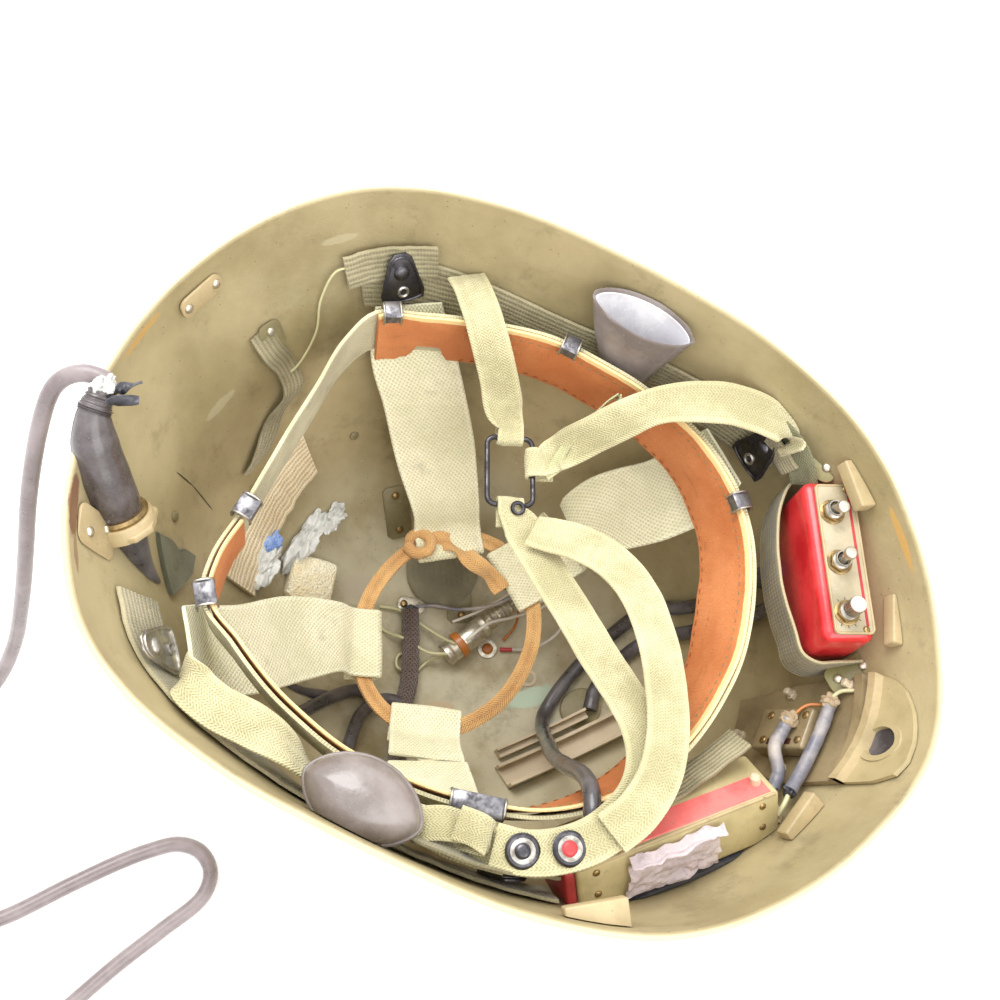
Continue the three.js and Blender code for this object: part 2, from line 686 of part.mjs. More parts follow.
add("lace_ring", laceGeometry(), "lace");

// Nape strap: a ribbed elastic across the back wall
const NAPE = [[160, 74], [172, 67], [184, 63], [196, 65]].map(([angle, z]) => ({ angle, z }));
add("nape_strap", fitted(wallBand(NAPE, 24, HANGER_LIFT, 12)), "elastic");

// Chin strap: two legs on the right join at a ring, the strap and its loop cross to the left
const RING = { x: -18, y: 46, z: 132, heading: -65, long: 30, wide: 19, corner: 3.5, wire: 1.1 };

function ringEnd(side) {
  const end = heading(RING.heading, (side * RING.long) / 2);
  return { x: RING.x + end.x, y: RING.y + end.y, z: RING.z };
}

function ringGeometry() {
  const corner = RING.corner;
  const [w, h] = [RING.long / 2, RING.wide / 2];
  const corners = [[w - corner, h - corner, 0], [corner - w, h - corner, 90],
    [corner - w, corner - h, 180], [w - corner, corner - h, 270]];
  const path = corners.flatMap(([x, y, start]) => [0, 30, 60, 90].map((turn) => {
    const point = heading(start + turn, corner);
    return { centre: point.clone().add(vec(x, y, 0)), out: point.normalize() };
  }));
  return loft(path.map(({ centre, out }) => Array.from({ length: 8 }, (_, i) => {
    const a = (i / 8) * Math.PI * 2;
    return centre.clone().addScaledVector(out, Math.cos(a) * RING.wire).setZ(Math.sin(a) * RING.wire);
  })), true);
}

const ringFrame = frameAt(vec(RING.x, RING.y, RING.z), heading(RING.heading), vec(0, 0, 1));
add("chin_ring", ringGeometry(), "black", { roughness: 0.4, metalness: 0.6, frame: ringFrame });

// Rows of a strap end that folds round a bar and goes back under itself
function folded(rows, bar, travel, across, wide) {
  const away = RING.wire + 0.6 + WEB_THICK / 2;
  const at = (distance, rise) => {
    const step = heading(travel, distance);
    return { x: bar.x + step.x, y: bar.y + step.y, z: bar.z + rise, across, wide };
  };
  return [...rows, at(-4, away + 0.4), at(0, away), at(away * 0.8, away * 0.6), at(away, 0),
    at(away * 0.8, -away * 0.6), at(0, -away), at(-9, -away - 0.2)];
}

const REAR_LEG = [
  { x: -70, y: 104, z: 158, across: 36 }, { x: -64, y: 97, z: 162.5, across: 36 },
  { x: -57, y: 89.5, z: 163, across: 34 }, { x: -50, y: 82.5, z: 160, across: 32 },
  { x: -39, y: 74, z: 147.5, across: 28 }, { x: -31.5, y: 67.5, z: 137.5, across: 26 },
];
const RING_FOLD = 11;
const rearBar = ringEnd(-1);
const rearLeg = folded(REAR_LEG, rearBar, RING.heading, 25, RING_FOLD);
add("chin_leg_rear", strap(rearLeg, CHIN_WIDTH, WEB_THICK, 30), "pale");

const FRONT_LEG = [
  { x: 80, y: 92.8, z: 165.9, across: 122, wide: 13 }, { x: 76, y: 99.5, z: 167.5, across: 114 },
  { x: 65, y: 100.5, z: 170, across: 108, wide: 18 }, { x: 51, y: 98.5, z: 170.5, across: 106, wide: 19 },
  { x: 35, y: 92.5, z: 168, across: 118, wide: 18 }, { x: 22, y: 84, z: 165, across: 128 },
  { x: 14, y: 77, z: 158, across: 132, tilt: 20 }, { x: 6, y: 69.5, z: 149, across: 130, tilt: 40 },
  { x: -1, y: 63, z: 141, across: 120, tilt: 25 }, { x: -4.5, y: 59.5, z: 136.5, across: 112, tilt: 5 },
];
const sideBar = vec(RING.x, RING.y, RING.z).add(heading(RING.heading + 90, RING.wide / 2))
  .addScaledVector(heading(RING.heading), -4);
const frontLeg = folded(FRONT_LEG, sideBar, RING.heading - 90, 115, 13);
add("chin_leg_front", fitted(strap(frontLeg, CHIN_WIDTH, WEB_THICK, 40)), "pale");

const frontBar = ringEnd(1);
const CHIN_STRAP = [
  { x: 36, y: -99.5, z: 165.5, across: -90 }, { x: 46, y: -97.5, z: 167, across: -84 },
  { x: 56, y: -92.5, z: 169, across: -68 }, { x: 65, y: -84.5, z: 171, across: -50 },
  { x: 71, y: -74.5, z: 172, across: -26 }, { x: 74.5, y: -62, z: 171.5, across: -4 },
  { x: 73, y: -49, z: 169, across: 16 }, { x: 67, y: -37.5, z: 164.5, across: 34 },
  { x: 58, y: -27.5, z: 158.5, across: 42 }, { x: 45, y: -16.5, z: 152, across: 46 },
  { x: 31, y: -4, z: 146, across: 47 }, { x: 18, y: 7, z: 140.5, across: 48 },
  { x: 5, y: 17.5, z: 136.5, across: 44 }, { x: -3.5, y: 25, z: 134.6, across: 34 },
];
const chinStrap = folded(CHIN_STRAP, frontBar, RING.heading + 180, 25, RING_FOLD);
add("chin_strap", strap(chinStrap, CHIN_WIDTH, WEB_THICK, 56), "pale");

const CHIN_LOOP = [
  { x: 1, y: 24, z: 138.2, across: 60 }, { x: 9, y: 24.5, z: 141.5, across: 84 },
  { x: 21, y: 24.5, z: 147, across: 82 }, { x: 36, y: 20.5, z: 152.5, across: 66 },
  { x: 49, y: 11, z: 157.5, across: 46 }, { x: 60, y: -3, z: 162, across: 32 },
  { x: 69, y: -20, z: 167, across: 22 }, { x: 76, y: -39, z: 172, across: 12 },
  { x: 78, y: -55, z: 174.5, across: 0 }, { x: 75.5, y: -69, z: 175.4, across: -16 },
  { x: 70, y: -80, z: 175, across: -36 },
];
add("chin_loop", strap(CHIN_LOOP, CHIN_WIDTH, WEB_THICK, 36), "pale");

const LEFT_LEG = [
  { x: -87, y: -91, z: 163.5, across: -50 }, { x: -81, y: -97, z: 165.5, across: -66 },
  { x: -70, y: -100, z: 166, across: -84 }, { x: -56, y: -100, z: 165, across: -90 },
  { x: -42, y: -100.5, z: 160.5, across: -90, tilt: 35 }, { x: -29, y: -103, z: 151, across: -90, tilt: 72 },
  { x: -12, y: -104, z: 146, across: -90, tilt: 84 }, { x: 6, y: -104, z: 147, across: -90, tilt: 76 },
  { x: 20, y: -103, z: 154.5, across: -88, tilt: 44 }, { x: 31, y: -101, z: 161, across: -86, tilt: 10 },
  { x: 42, y: -99, z: 163, across: -82, tilt: 4 },
];
add("chin_leg_left", fitted(strap(LEFT_LEG, CHIN_WIDTH, WEB_THICK, 34)), "pale");

// Ear pieces: a funnel with an open mouth on the right, a closed cup on the left
function ellipseRing(row, inset, rise = 0) {
  return Array.from({ length: 20 }, (_, i) => {
    const a = (i / 20) * Math.PI * 2;
    const [c, s] = [Math.cos(a), Math.sin(a)];
    const height = row.z + rise + s * (row.lift ?? 0);
    return vec(row.x + c * (row.halfX - inset), row.y + s * (row.halfY - inset), height);
  });
}

const FUNNEL = [
  { x: 6, y: 103.6, z: 139, halfX: 9, halfY: 4 }, { x: 5, y: 104.4, z: 148, halfX: 11, halfY: 4.6 },
  { x: 3.5, y: 106.6, z: 158, halfX: 15, halfY: 5.4, lift: 1 },
  { x: 2.8, y: 109, z: 168, halfX: 19, halfY: 6.6, lift: 2 },
  { x: 2.5, y: 111.4, z: 178, halfX: 22.5, halfY: 7.6, lift: 3 },
];
const FUNNEL_WALL = 1.8;

function funnelGeometry() {
  const outside = FUNNEL.map((row) => ellipseRing(row, 0));
  const mouth = FUNNEL[4];
  const inside = FUNNEL.slice(2).reverse().map((row) => ellipseRing(row, FUNNEL_WALL, row === mouth ? 0 : 1.5));
  return fitted(loft([...outside, ...inside]));
}

add("ear_funnel", funnelGeometry(), "rubber", { roughness: 0.5 });

const CUP = [
  { x: -8, y: -104.5, z: 155.5, halfX: 9, halfY: 4 }, { x: -9, y: -105, z: 159.5, halfX: 15, halfY: 8 },
  { x: -10, y: -106, z: 165, halfX: 20, halfY: 12.5 }, { x: -11, y: -106.5, z: 171, halfX: 21.5, halfY: 14 },
  { x: -11, y: -107, z: 177, halfX: 18.5, halfY: 12 }, { x: -11, y: -107.5, z: 181, halfX: 11, halfY: 7.5 },
  { x: -11, y: -107.5, z: 182.5, halfX: 3.5, halfY: 2.4 },
];
add("ear_cup", fitted(loft(CUP.map((row) => ellipseRing(row, 0)))), "rubber", { roughness: 0.45 });

// Inside the crown: a round ribbed patch, a tubular capacitor, leads, cables, a rail and foam
function disc(x, y, radius, near, far) {
  const drum = new THREE.CylinderGeometry(radius, radius, 120, 24);
  drum.rotateX(Math.PI / 2);
  drum.translate(x, y, 55);
  return wallSkin(merged(drum), near, far);
}

add("crown_patch", disc(-28, 38, 17.5, CLEAR, CLEAR + 4), "ribbed");

const CAPACITOR = {
  from: vec(-8, 1, 9.9), to: vec(11, 41, 15.4), body: 5.8, bodyLong: 25, neck: 3.8, long: 43,
};

function capacitorGeometry() {
  const { body, bodyLong, neck, long } = CAPACITOR;
  const profile = [[0, 0], [body, 0], [body, bodyLong], [neck + 0.6, bodyLong + 1.5]];
  for (let z = bodyLong + 2.4; z < long - 5; z += 2.4) profile.push([neck, z], [neck + 0.6, z + 1.2]);
  profile.push([neck, long - 4], [1.4, long - 3], [1.4, long], [0, long]);
  return turned(profile, 16);
}

const capacitorAxis = CAPACITOR.to.clone().sub(CAPACITOR.from);
add("capacitor", capacitorGeometry(), "silver", {
  roughness: 0.4, metalness: 0.7, frame: frameAt(CAPACITOR.from, vec(0, 0, 1), capacitorAxis),
});

const SLEEVE = [[-33, 13], [-26, 0], [-18, -18], [-14, -36], [-8, -54], [-1, -70]];
const SLEEVE_RADIUS = 4.4;
const sleeveRoute = SLEEVE.map(([x, y]) => crownPoint(x, y, SLEEVE_RADIUS + 1.8));
add("sleeve_lead", fitted(tube(sleeveRoute, SLEEVE_RADIUS, 22, 8)), "brown");

const CABLE_RADIUS = 3.4;
const overCrown = ([x, y]) => crownPoint(x, y, CABLE_RADIUS + 1.4);
const points = (rows) => rows.map(([x, y, z]) => vec(x, y, z));
const CABLE_1 = [
  ...points([[99, 63, 125], [96, 61, 108], [91, 58.5, 88]]),
  ...[[80, 57], [68, 54.5], [57.5, 38.5], [49, 14], [46.5, -4]].map(overCrown),
  ...points([[48, -13, 22], [50, -22, 40], [50.5, -32, 65], [51, -43, 95], [54, -52, 125],
    [57.5, -59.5, 150], [60, -66.5, 162.2], [62.5, -73, 165], [64.5, -79, 162.6]]),
  radioPoint(-35, 12, 2),
];
const radioWithAir = radioBlock(-half, half, -CLEAR, RADIO.inner, -CLEAR, RADIO.outer);
add("cable_1", cut(fitted(tube(CABLE_1, CABLE_RADIUS, 46, 8)), radioWithAir), "black", { roughness: 0.35 });

const CABLE_2 = [
  ...points([[108, 54, 125], [105, 52, 108], [99, 50, 88]]),
  ...[[87, 48], [75, 43], [66.5, 30], [63, 15], [64.5, 5.5]].map(overCrown),
];
add("cable_2", fitted(tube(CABLE_2, CABLE_RADIUS, 28, 8)), "black", { roughness: 0.35 });

const RAIL = { from: vec(40.6, -42, 0), to: vec(80, 5, 0), wide: 12, tall: 6, wall: 1.5 };

function railGeometry() {
  const along = RAIL.to.clone().sub(RAIL.from);
  const long = along.length();
  const place = frameAt(RAIL.from, along, vec(0, 0, 1));
  const strip = (y0, y1, far) => wallSkin(inFrame(block(0, long, y0, y1, 0, 90), place), CLEAR, far);
  const floor = strip(-RAIL.wide / 2, RAIL.wide / 2, CLEAR + RAIL.wall);
  const left = strip(-RAIL.wide / 2, RAIL.wall - RAIL.wide / 2, RAIL.tall);
  const right = strip(RAIL.wide / 2 - RAIL.wall, RAIL.wide / 2, RAIL.tall);
  return join(join(floor, left), right);
}

add("crown_rail", railGeometry(), "tan");

function foamGeometry() {
  const place = frameAt(vec(-80, -3, 0), heading(-70), vec(0, 0, 1));
  return wallSkin(inFrame(block(-12, 12, -8.5, 8.5, 0, 90), place), CLEAR, 10);
}

add("foam_block", foamGeometry(), "foam");

// Aerial: a bracket on the rear wall, a rubber boot over the rim and the lead below it
const SOCKET = { base: vec(-132.8, -54.8, 154), axis: vec(-8, 5.6, 13), outer: 11.5, inner: 8.7, tall: 6 };
const socketFrame = frameAt(SOCKET.base, heading(-157), SOCKET.axis);

function socketGeometry() {
  const collar = turned([[0, 0], [SOCKET.outer, 0], [SOCKET.outer, SOCKET.tall], [0, SOCKET.tall]], 24);
  const plate = block(0, 36, -10, 10, 0.2, 2.8);
  const bore = new THREE.CylinderGeometry(SOCKET.inner, SOCKET.inner, 40, 24);
  bore.rotateX(Math.PI / 2);
  return fitted(inFrame(cut(join(collar, plate), bore), socketFrame));
}

add("aerial_bracket", socketGeometry(), "tan", { roughness: 0.5 });

const BOOT = [
  { x: -132.8, y: -54.8, z: 154, radius: 7.9 }, { x: -136.6, y: -52.1, z: 160.2, radius: 8.1 },
  { x: -140.9, y: -49.4, z: 167.4, radius: 8.6 }, { x: -146.3, y: -45.2, z: 175.6, radius: 8.4 },
  { x: -151.2, y: -40, z: 184, radius: 7.6 }, { x: -154.6, y: -33.4, z: 190.4, radius: 5.6 },
  { x: -155.6, y: -26.6, z: 193.8, radius: 3.9 },
];

// A round body along rows of place and radius
function swept(rows, sides) {
  const path = new THREE.CatmullRomCurve3(rows.map((r) => vec(r.x, r.y, r.z)), false, "centripetal");
  const count = rows.length - 1;
  const rings = [];
  for (let i = 0; i <= count * 2; i += 1) {
    const u = i / (count * 2);
    const along = path.getTangent(u);
    const across = along.clone().cross(vec(0, 0, 1)).normalize();
    const up = across.clone().cross(along);
    const low = rows[Math.floor(i / 2)].radius;
    const high = rows[Math.ceil(i / 2)].radius;
    const radius = (low + high) / 2;
    rings.push(Array.from({ length: sides }, (_, j) => {
      const a = (j / sides) * Math.PI * 2;
      const middle = path.getPoint(u).addScaledVector(across, Math.cos(a) * radius);
      return middle.addScaledVector(up, Math.sin(a) * radius);
    }));
  }
  return loft(rings);
}

add("aerial_boot", cut(swept(BOOT, 16), wallWithAir()), "rubber", { roughness: 0.45 });

const LOWER = [
  { x: -132.4, y: -55.1, z: 153.3, radius: 7 }, { x: -128.2, y: -58, z: 146, radius: 5.6 },
  { x: -122.5, y: -61, z: 136, radius: 3.6 }, { x: -116, y: -63.5, z: 118, radius: 3.4 },
  { x: -109, y: -62, z: 98, radius: 3.4 }, { x: -101, y: -56, z: 78, radius: 3.4 },
];
add("aerial_lead", fitted(swept(LOWER, 10)), "black");

// Cord: over the rim, down to the surface, a loose loop and a coil with the rest of its length
const CORD_ROUTE = [
  [-155.6, -22.3, 194.5], [-158.6, -22.7, 195.1], [-163.4, -24, 195.3], [-168, -26.7, 193.5],
  [-171.4, -30, 189.6], [-173.1, -33.6, 184.3], [-174.3, -40, 172.5], [-174.6, -48, 157],
  [-174, -58, 137], [-173.4, -68.5, 109], [-173.8, -80, 76], [-176, -92, 43], [-181, -106, 18],
  [-189, -122, 5.4], [-197, -141, 3.3], [-200.5, -163, 3.3], [-197.5, -185, 3.3], [-186, -203, 3.3],
  [-167, -211.5, 3.3], [-147.5, -207, 3.3], [-127.5, -190, 3.3], [-109, -165.5, 3.3], [-95, -147.6, 3.3],
  [-86, -137.9, 3.3], [-76.5, -130.2, 3.3], [-66, -128.8, 3.3], [-57.8, -134.6, 3.3], [-55.8, -145.2, 3.3],
  [-64.5, -165, 3.3], [-74, -185, 3.3], [-83, -207, 3.3], [-92.5, -232, 3.3], [-98.6, -250, 3.3],
  [-100.6, -264, 3.3],
];
const coilRing = (grow) => turned([
  [COIL.inner - grow, -grow], [COIL.outer + grow, -grow], [COIL.outer + grow, COIL.tall + grow],
  [COIL.inner - grow, COIL.tall + grow], [COIL.inner - grow, -grow],
], 40).translate(COIL.x, COIL.y, 0);
const cordTube = tube(points(CORD_ROUTE), CORD.radius, 66, 8);
add("aerial_cord", cut(cordTube, coilRing(CLEAR)), "cord", { roughness: 0.35 });
add("aerial_coil", coilRing(0), "cord", { roughness: 0.35 });

const TIP_ROUTE = [[-85.6, -264, 3.3], [-84.8, -270, 3.3], [-79.5, -276.4, 3.3], [-70, -277.9, 3.3]];

function tipGeometry() {
  const stub = tube(points(TIP_ROUTE), CORD.radius, 8, 8);
  const cap = turned([[0, 0], [3.6, 0], [4, 1], [4, 17], [2.8, 19], [0, 19]], 16);
  const placed = inFrame(cap, frameAt(vec(-71.5, -277.6, 4.1), vec(0, 0, 1), vec(1, 0.08, 0)));
  return cut(join(stub, placed), coilRing(CLEAR));
}

add("aerial_tip", tipGeometry(), "black", { roughness: 0.4 });

// A crumpled tag of clear tape on the transceiver
add("tape_tag", radioBlock(-16, 17, -1.6, -0.5, 2, 21), "film");

export default object;
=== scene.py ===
"""Radio operator helmet: the looks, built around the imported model.

The helmet lies crown-down with its opening upwards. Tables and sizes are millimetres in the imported
model's frame: +X is the front brim, +Y the wearer's right and +Z is up. Each mesh is made in
millimetres and put into metres when it is finished.
"""

import logging
import math
from dataclasses import dataclass
from enum import Enum
from typing import Iterable, Optional, Sequence

import bpy
import numpy as np
from mathutils import Matrix, Vector, noise


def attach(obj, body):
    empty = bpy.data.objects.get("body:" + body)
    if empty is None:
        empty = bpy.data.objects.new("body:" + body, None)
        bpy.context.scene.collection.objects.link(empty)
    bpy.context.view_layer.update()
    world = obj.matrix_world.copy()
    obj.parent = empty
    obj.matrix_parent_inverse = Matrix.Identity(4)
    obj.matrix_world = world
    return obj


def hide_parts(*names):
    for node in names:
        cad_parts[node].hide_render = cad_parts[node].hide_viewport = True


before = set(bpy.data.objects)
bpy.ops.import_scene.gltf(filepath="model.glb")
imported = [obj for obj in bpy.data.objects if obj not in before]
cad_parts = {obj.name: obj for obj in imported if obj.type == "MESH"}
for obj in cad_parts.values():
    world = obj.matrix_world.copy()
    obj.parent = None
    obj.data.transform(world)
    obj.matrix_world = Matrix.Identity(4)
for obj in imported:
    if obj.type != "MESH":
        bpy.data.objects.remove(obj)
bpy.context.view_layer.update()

log = logging.getLogger("helmet")

MM = 0.001
HELMET = "helmet"
WALL = 3.0
WEB_THICK = 1.6
WELD = 0.004
GAP = 0.5
FRONT_START = 90.0
SECTION_ACROSS = 0.62
SECTION_THROUGH = 0.22
Piece = bpy.types.Object
Row = Sequence[float]
Rows = Sequence[Row]

# Shell: heading from the front, radius and height of the rim
RIM = (
    (0, 166, 180), (15, 160, 181), (30, 153, 183), (45, 145.5, 186), (60, 135, 189),
    (70, 129.5, 191), (80, 125.5, 192), (90, 124.5, 192.5), (100, 126.5, 192.5), (110, 132, 192),
    (120, 139.5, 191), (130, 149, 189), (140, 157, 187), (150, 160.5, 186), (160, 162.5, 184.5),
    (180, 164, 183),
)
CROWN_LENGTH = 147.0
CROWN_WIDTH = 121.0
CROWN_FULLNESS = 2.35
CROWN_FLARE = 0.05
BLEND_FROM = 0.55

# Headband: heading, radius of its top edge, and how far its lower edge leans inwards
HEADBAND = (
    (0, 95.5, 12), (20, 96, 12), (40, 98, 9), (60, 98, 5), (75, 96, 3), (90, 96.5, 2),
    (105, 100, 2), (120, 104, 2), (135, 111, 2), (144, 118, 2), (152, 114, 1), (164, 104.5, 0),
    (180, 101, 0),
)
BAND_TOP = 158.0
BAND_HEIGHT = 30.0
BAND_SHIFT = 2.0


def table_value(table: Rows, column: int, angle: float) -> float:
    """Smooth value of a half table's column at any heading, the same on both sides.

    Args:
        table: Rows that start with a heading from 0 to 180.
        column: The column that is wanted.
        angle: Heading in degrees.

    Returns:
        The value between the table's rows.
    """
    a = abs((angle + 180.0) % 360.0 - 180.0)
    i = next((k for k, row in enumerate(table) if row[0] >= a), len(table) - 1)
    i = max(i, 1)
    p, q = table[i - 1], table[i]
    before, after = table[max(i - 2, 0)], table[min(i + 1, len(table) - 1)]
    span = q[0] - p[0]
    u = (a - p[0]) / span
    slope_p = 0.0 if before is p else (q[column] - before[column]) / (q[0] - before[0])
    slope_q = 0.0 if after is q else (after[column] - p[column]) / (after[0] - p[0])
    u2, u3 = u * u, u * u * u
    return (
        (2 * u3 - 3 * u2 + 1) * p[column] + (u3 - 2 * u2 + u) * span * slope_p
        + (3 * u2 - 2 * u3) * q[column] + (u3 - u2) * span * slope_q
    )


def smoothstep(low: float, high: float, value: float) -> float:
    """Eases from 0 at low to 1 at high."""
    t = min(max((value - low) / (high - low), 0.0), 1.0)
    return t * t * (3.0 - 2.0 * t)


def shell_radius(angle: float, t: float, inset: float) -> float:
    """Radius of the shell's surface.

    Args:
        angle: Heading in degrees.
        t: How far up the shell, from 0 at the crown to 1 at the rim.
        inset: Distance inside the outer surface.

    Returns:
        The radius from the shell's axis.
    """
    a = math.radians(angle)
    round_part = 1.0 / math.hypot(math.cos(a) / CROWN_LENGTH, math.sin(a) / CROWN_WIDTH)
    blend = smoothstep(BLEND_FROM, 1.0, t)
    outline = round_part * (1.0 - blend) + table_value(RIM, 1, angle) * blend
    profile = (1.0 - (1.0 - t) ** CROWN_FULLNESS) ** (1.0 / CROWN_FULLNESS)
    profile = profile * (1.0 - CROWN_FLARE) + CROWN_FLARE * t**5
    return max(outline * profile - inset * min(t * 12.0, 1.0), 0.0)


def shell_point(angle: float, t: float, inset: float) -> Vector:
    """Point on the surface that lies inset inside the shell's outside."""
    radius = shell_radius(angle, t, inset)
    a = math.radians(angle)
    height = inset + t * (table_value(RIM, 2, angle) - inset)
    return Vector((math.cos(a) * radius, math.sin(a) * radius, height))


def wall_point(angle: float, z: float, lift: float) -> Vector:
    """Point at a heading and height, lifted off the inner wall towards the middle."""
    inset = WALL + lift
    t = (z - inset) / (table_value(RIM, 2, angle) - inset)
    radius = shell_radius(angle, min(max(t, 0.0), 1.0), inset)
    a = math.radians(angle)
    return Vector((math.cos(a) * radius, math.sin(a) * radius, z))


def wall_at(y: float, z: float, lift: float, sign: int = 1) -> Vector:
    """Point on the front (sign 1) or rear (sign -1) wall at a place across and a height."""
    angle = 0.0 if sign > 0 else 180.0
    for _ in range(12):
        radius = wall_point(angle, z, lift).xy.length
        angle = math.degrees(math.asin(min(max(y / radius, -1.0), 1.0)))
        angle = angle if sign > 0 else 180.0 - angle
    return wall_point(angle, z, lift)


def crown_point(x: float, y: float, lift: float) -> Vector:
    """Point over the inner crown at a place in plan, lifted straight up."""
    angle, distance = math.degrees(math.atan2(y, x)), math.hypot(x, y)
    low, high = WALL, 175.0
    for _ in range(26):
        middle = (low + high) / 2
        if wall_point(angle, middle, 0.0).xy.length < distance:
            low = middle
        else:
            high = middle
    return Vector((x, y, high + lift))


def wall_frame(angle: float, z: float, lift: float = 0.0) -> Matrix:
    """Frame on the inner wall: x level along the wall, y up it and z towards the middle."""
    up = (wall_point(angle, z + 4.0, 0.0) - wall_point(angle, z - 4.0, 0.0)).normalized()
    a = math.radians(angle + 90.0)
    level = Vector((-math.cos(a), -math.sin(a), 0.0))
    inward = level.cross(up).normalized()
    return frame_at(wall_point(angle, z, 0.0) + inward * lift, level, inward)


def crown_frame(x: float, y: float, lift: float, turn: float) -> Matrix:
    """Frame on the inner crown at a place in plan, with its x axis at a heading."""
    here = crown_point(x, y, 0.0)
    east = crown_point(x + 3, y, 0.0) - crown_point(x - 3, y, 0.0)
    north = crown_point(x, y + 3, 0.0) - crown_point(x, y - 3, 0.0)
    up = east.cross(north).normalized()
    return frame_at(here + up * lift, heading(turn), up)


def frame_at(origin: Row, x_axis: Row, z_axis: Row) -> Matrix:
    """Matrix of a frame from its origin and the directions of its x and z axes."""
    z = Vector(z_axis).normalized()
    y = z.cross(Vector(x_axis)).normalized()
    x = y.cross(z)
    matrix = Matrix((x, y, z)).transposed().to_4x4()
    matrix.translation = origin
    return matrix


def front_frame() -> Matrix:
    """Frame inside the front wall: x towards the right, y up and z forwards."""
    return frame_at((FRONT_START, 0, 0), (0, 1, 0), (1, 0, 0))


def moved(place: Matrix, x: float, y: float, z: float) -> Matrix:
    """A frame moved along its own axes."""
    return place @ Matrix.Translation((x, y, z))


def on_crown(rows: Rows) -> list[Row]:
    """Places over the crown from rows of x, y and lift."""
    return [tuple(crown_point(*row)) for row in rows]


def wobble(a: float, b: float, c: float) -> float:
    """Smooth noise at a place, from about -1 to 1."""
    return noise.noise(Vector((a, b, c)))


def uneven(count: int, share: float, pace: float, b: float, c: float) -> np.ndarray:
    """A factor near 1 for each sample of a line, which wanders by a share of it."""
    return 1 + share * np.array([wobble(k / pace, b, c) for k in range(count)])


def rounded(long: float, wide: float, corner: float) -> list[Row]:
    """Outline of a rectangle with round corners."""
    w, h = long / 2 - corner, wide / 2 - corner
    turns = np.linspace(0, math.pi / 2, 6)
    quarter = [(w + corner * math.cos(a), h + corner * math.sin(a)) for a in turns]
    half = quarter + [(-x, y) for x, y in reversed(quarter)]
    return half + [(-x, -y) for x, y in half]


def heading(angle: float, length: float = 1.0) -> Vector:
    """Level vector at a heading."""
    a = math.radians(angle)
    return Vector((math.cos(a) * length, math.sin(a) * length, 0.0))


def spline(rows: Rows, count: int, closed: bool = False) -> np.ndarray:
    """Smooth line through rows whose first three columns are a place.

    Args:
        rows: Places, with any further columns that run along with them.
        count: How many samples are wanted.
        closed: Whether the line comes back to its first row.

    Returns:
        An array of count rows with the same columns.
    """
    p = np.array(rows, float)
    if closed:
        p = np.vstack([p[-1], p, p[0], p[1]])
    else:
        p = np.vstack([2 * p[0] - p[1], p, 2 * p[-1] - p[-2]])
    last = len(p) - 3
    out = []
    for t in np.linspace(0.0, last, count):
        i = min(int(t), last - 1)
        a, b, c, d = p[i : i + 4]
        gaps = [max(float(np.linalg.norm(n[:3] - m[:3])) ** 0.5, 1e-3) for m, n in ((a, b), (b, c), (c, d))]
        g0, g1, g2 = gaps
        slope_b = ((b - a) / g0 - (c - a) / (g0 + g1) + (c - b) / g1) * g1
        slope_c = ((c - b) / g1 - (d - b) / (g1 + g2) + (d - c) / g2) * g1
        u = t - i
        out.append(
            b * (2 * u**3 - 3 * u**2 + 1) + slope_b * (u**3 - 2 * u**2 + u)
            + c * (3 * u**2 - 2 * u**3) + slope_c * (u**3 - u**2)
        )
    return np.array(out)


def evenly(line: np.ndarray, count: int) -> np.ndarray:
    """The same line with its samples at equal distances."""
    steps = np.linalg.norm(np.diff(line[:, :3], axis=0), axis=1)
    run = np.concatenate([[0.0], np.cumsum(steps)])
    at = np.linspace(0.0, run[-1], count)
    return np.stack([np.interp(at, run, line[:, k]) for k in range(line.shape[1])], axis=1)


def unit(vectors: np.ndarray) -> np.ndarray:
    """Vectors with their length made 1."""
    return vectors / np.maximum(np.linalg.norm(vectors, axis=-1, keepdims=True), 1e-9)


def run_length(line: np.ndarray) -> np.ndarray:
    """Distance along a line at each of its samples."""
    steps = np.linalg.norm(np.diff(line[:, :3], axis=0), axis=1)
    return np.concatenate([[0.0], np.cumsum(steps)])


# Modelling


def start_clean() -> None:
    """Leaves edit mode with nothing selected, so that an operator acts on the new piece only."""
    if bpy.context.object and bpy.context.object.mode != "OBJECT":
        bpy.ops.object.mode_set(mode="OBJECT")
    bpy.ops.object.select_all(action="DESELECT")


def active(name: str) -> Piece:
    """The object that an operator has just added, under its new name."""
    piece = bpy.context.object
    piece.name = name
    piece.data.name = name
    return piece


def in_edit(piece: Piece) -> None:
    """Goes into edit mode on one piece with all of it selected."""
    start_clean()
    piece.select_set(True)
    bpy.context.view_layer.objects.active = piece
    bpy.ops.object.mode_set(mode="EDIT")
    bpy.ops.mesh.select_all(action="SELECT")


def settle(piece: Piece, frame_mm: Matrix, weld: float = WELD) -> Piece:
    """Merges doubles, turns faces outwards and puts a millimetre mesh in its place in metres.

    Args:
        piece: The piece, modelled about its own origin.
        frame_mm: Where that origin goes, in millimetres.
        weld: Points nearer than this many millimetres become one.

    Returns:
        The piece, with its object at the origin and unscaled.
    """
    in_edit(piece)
    bpy.ops.mesh.remove_doubles(threshold=weld)
    bpy.ops.mesh.select_all(action="SELECT")
    bpy.ops.mesh.normals_make_consistent(inside=False)
    start_clean()
    piece.data.transform(Matrix.Scale(MM, 4) @ frame_mm @ piece.matrix_world)
    piece.matrix_world = Matrix.Identity(4)
    return piece


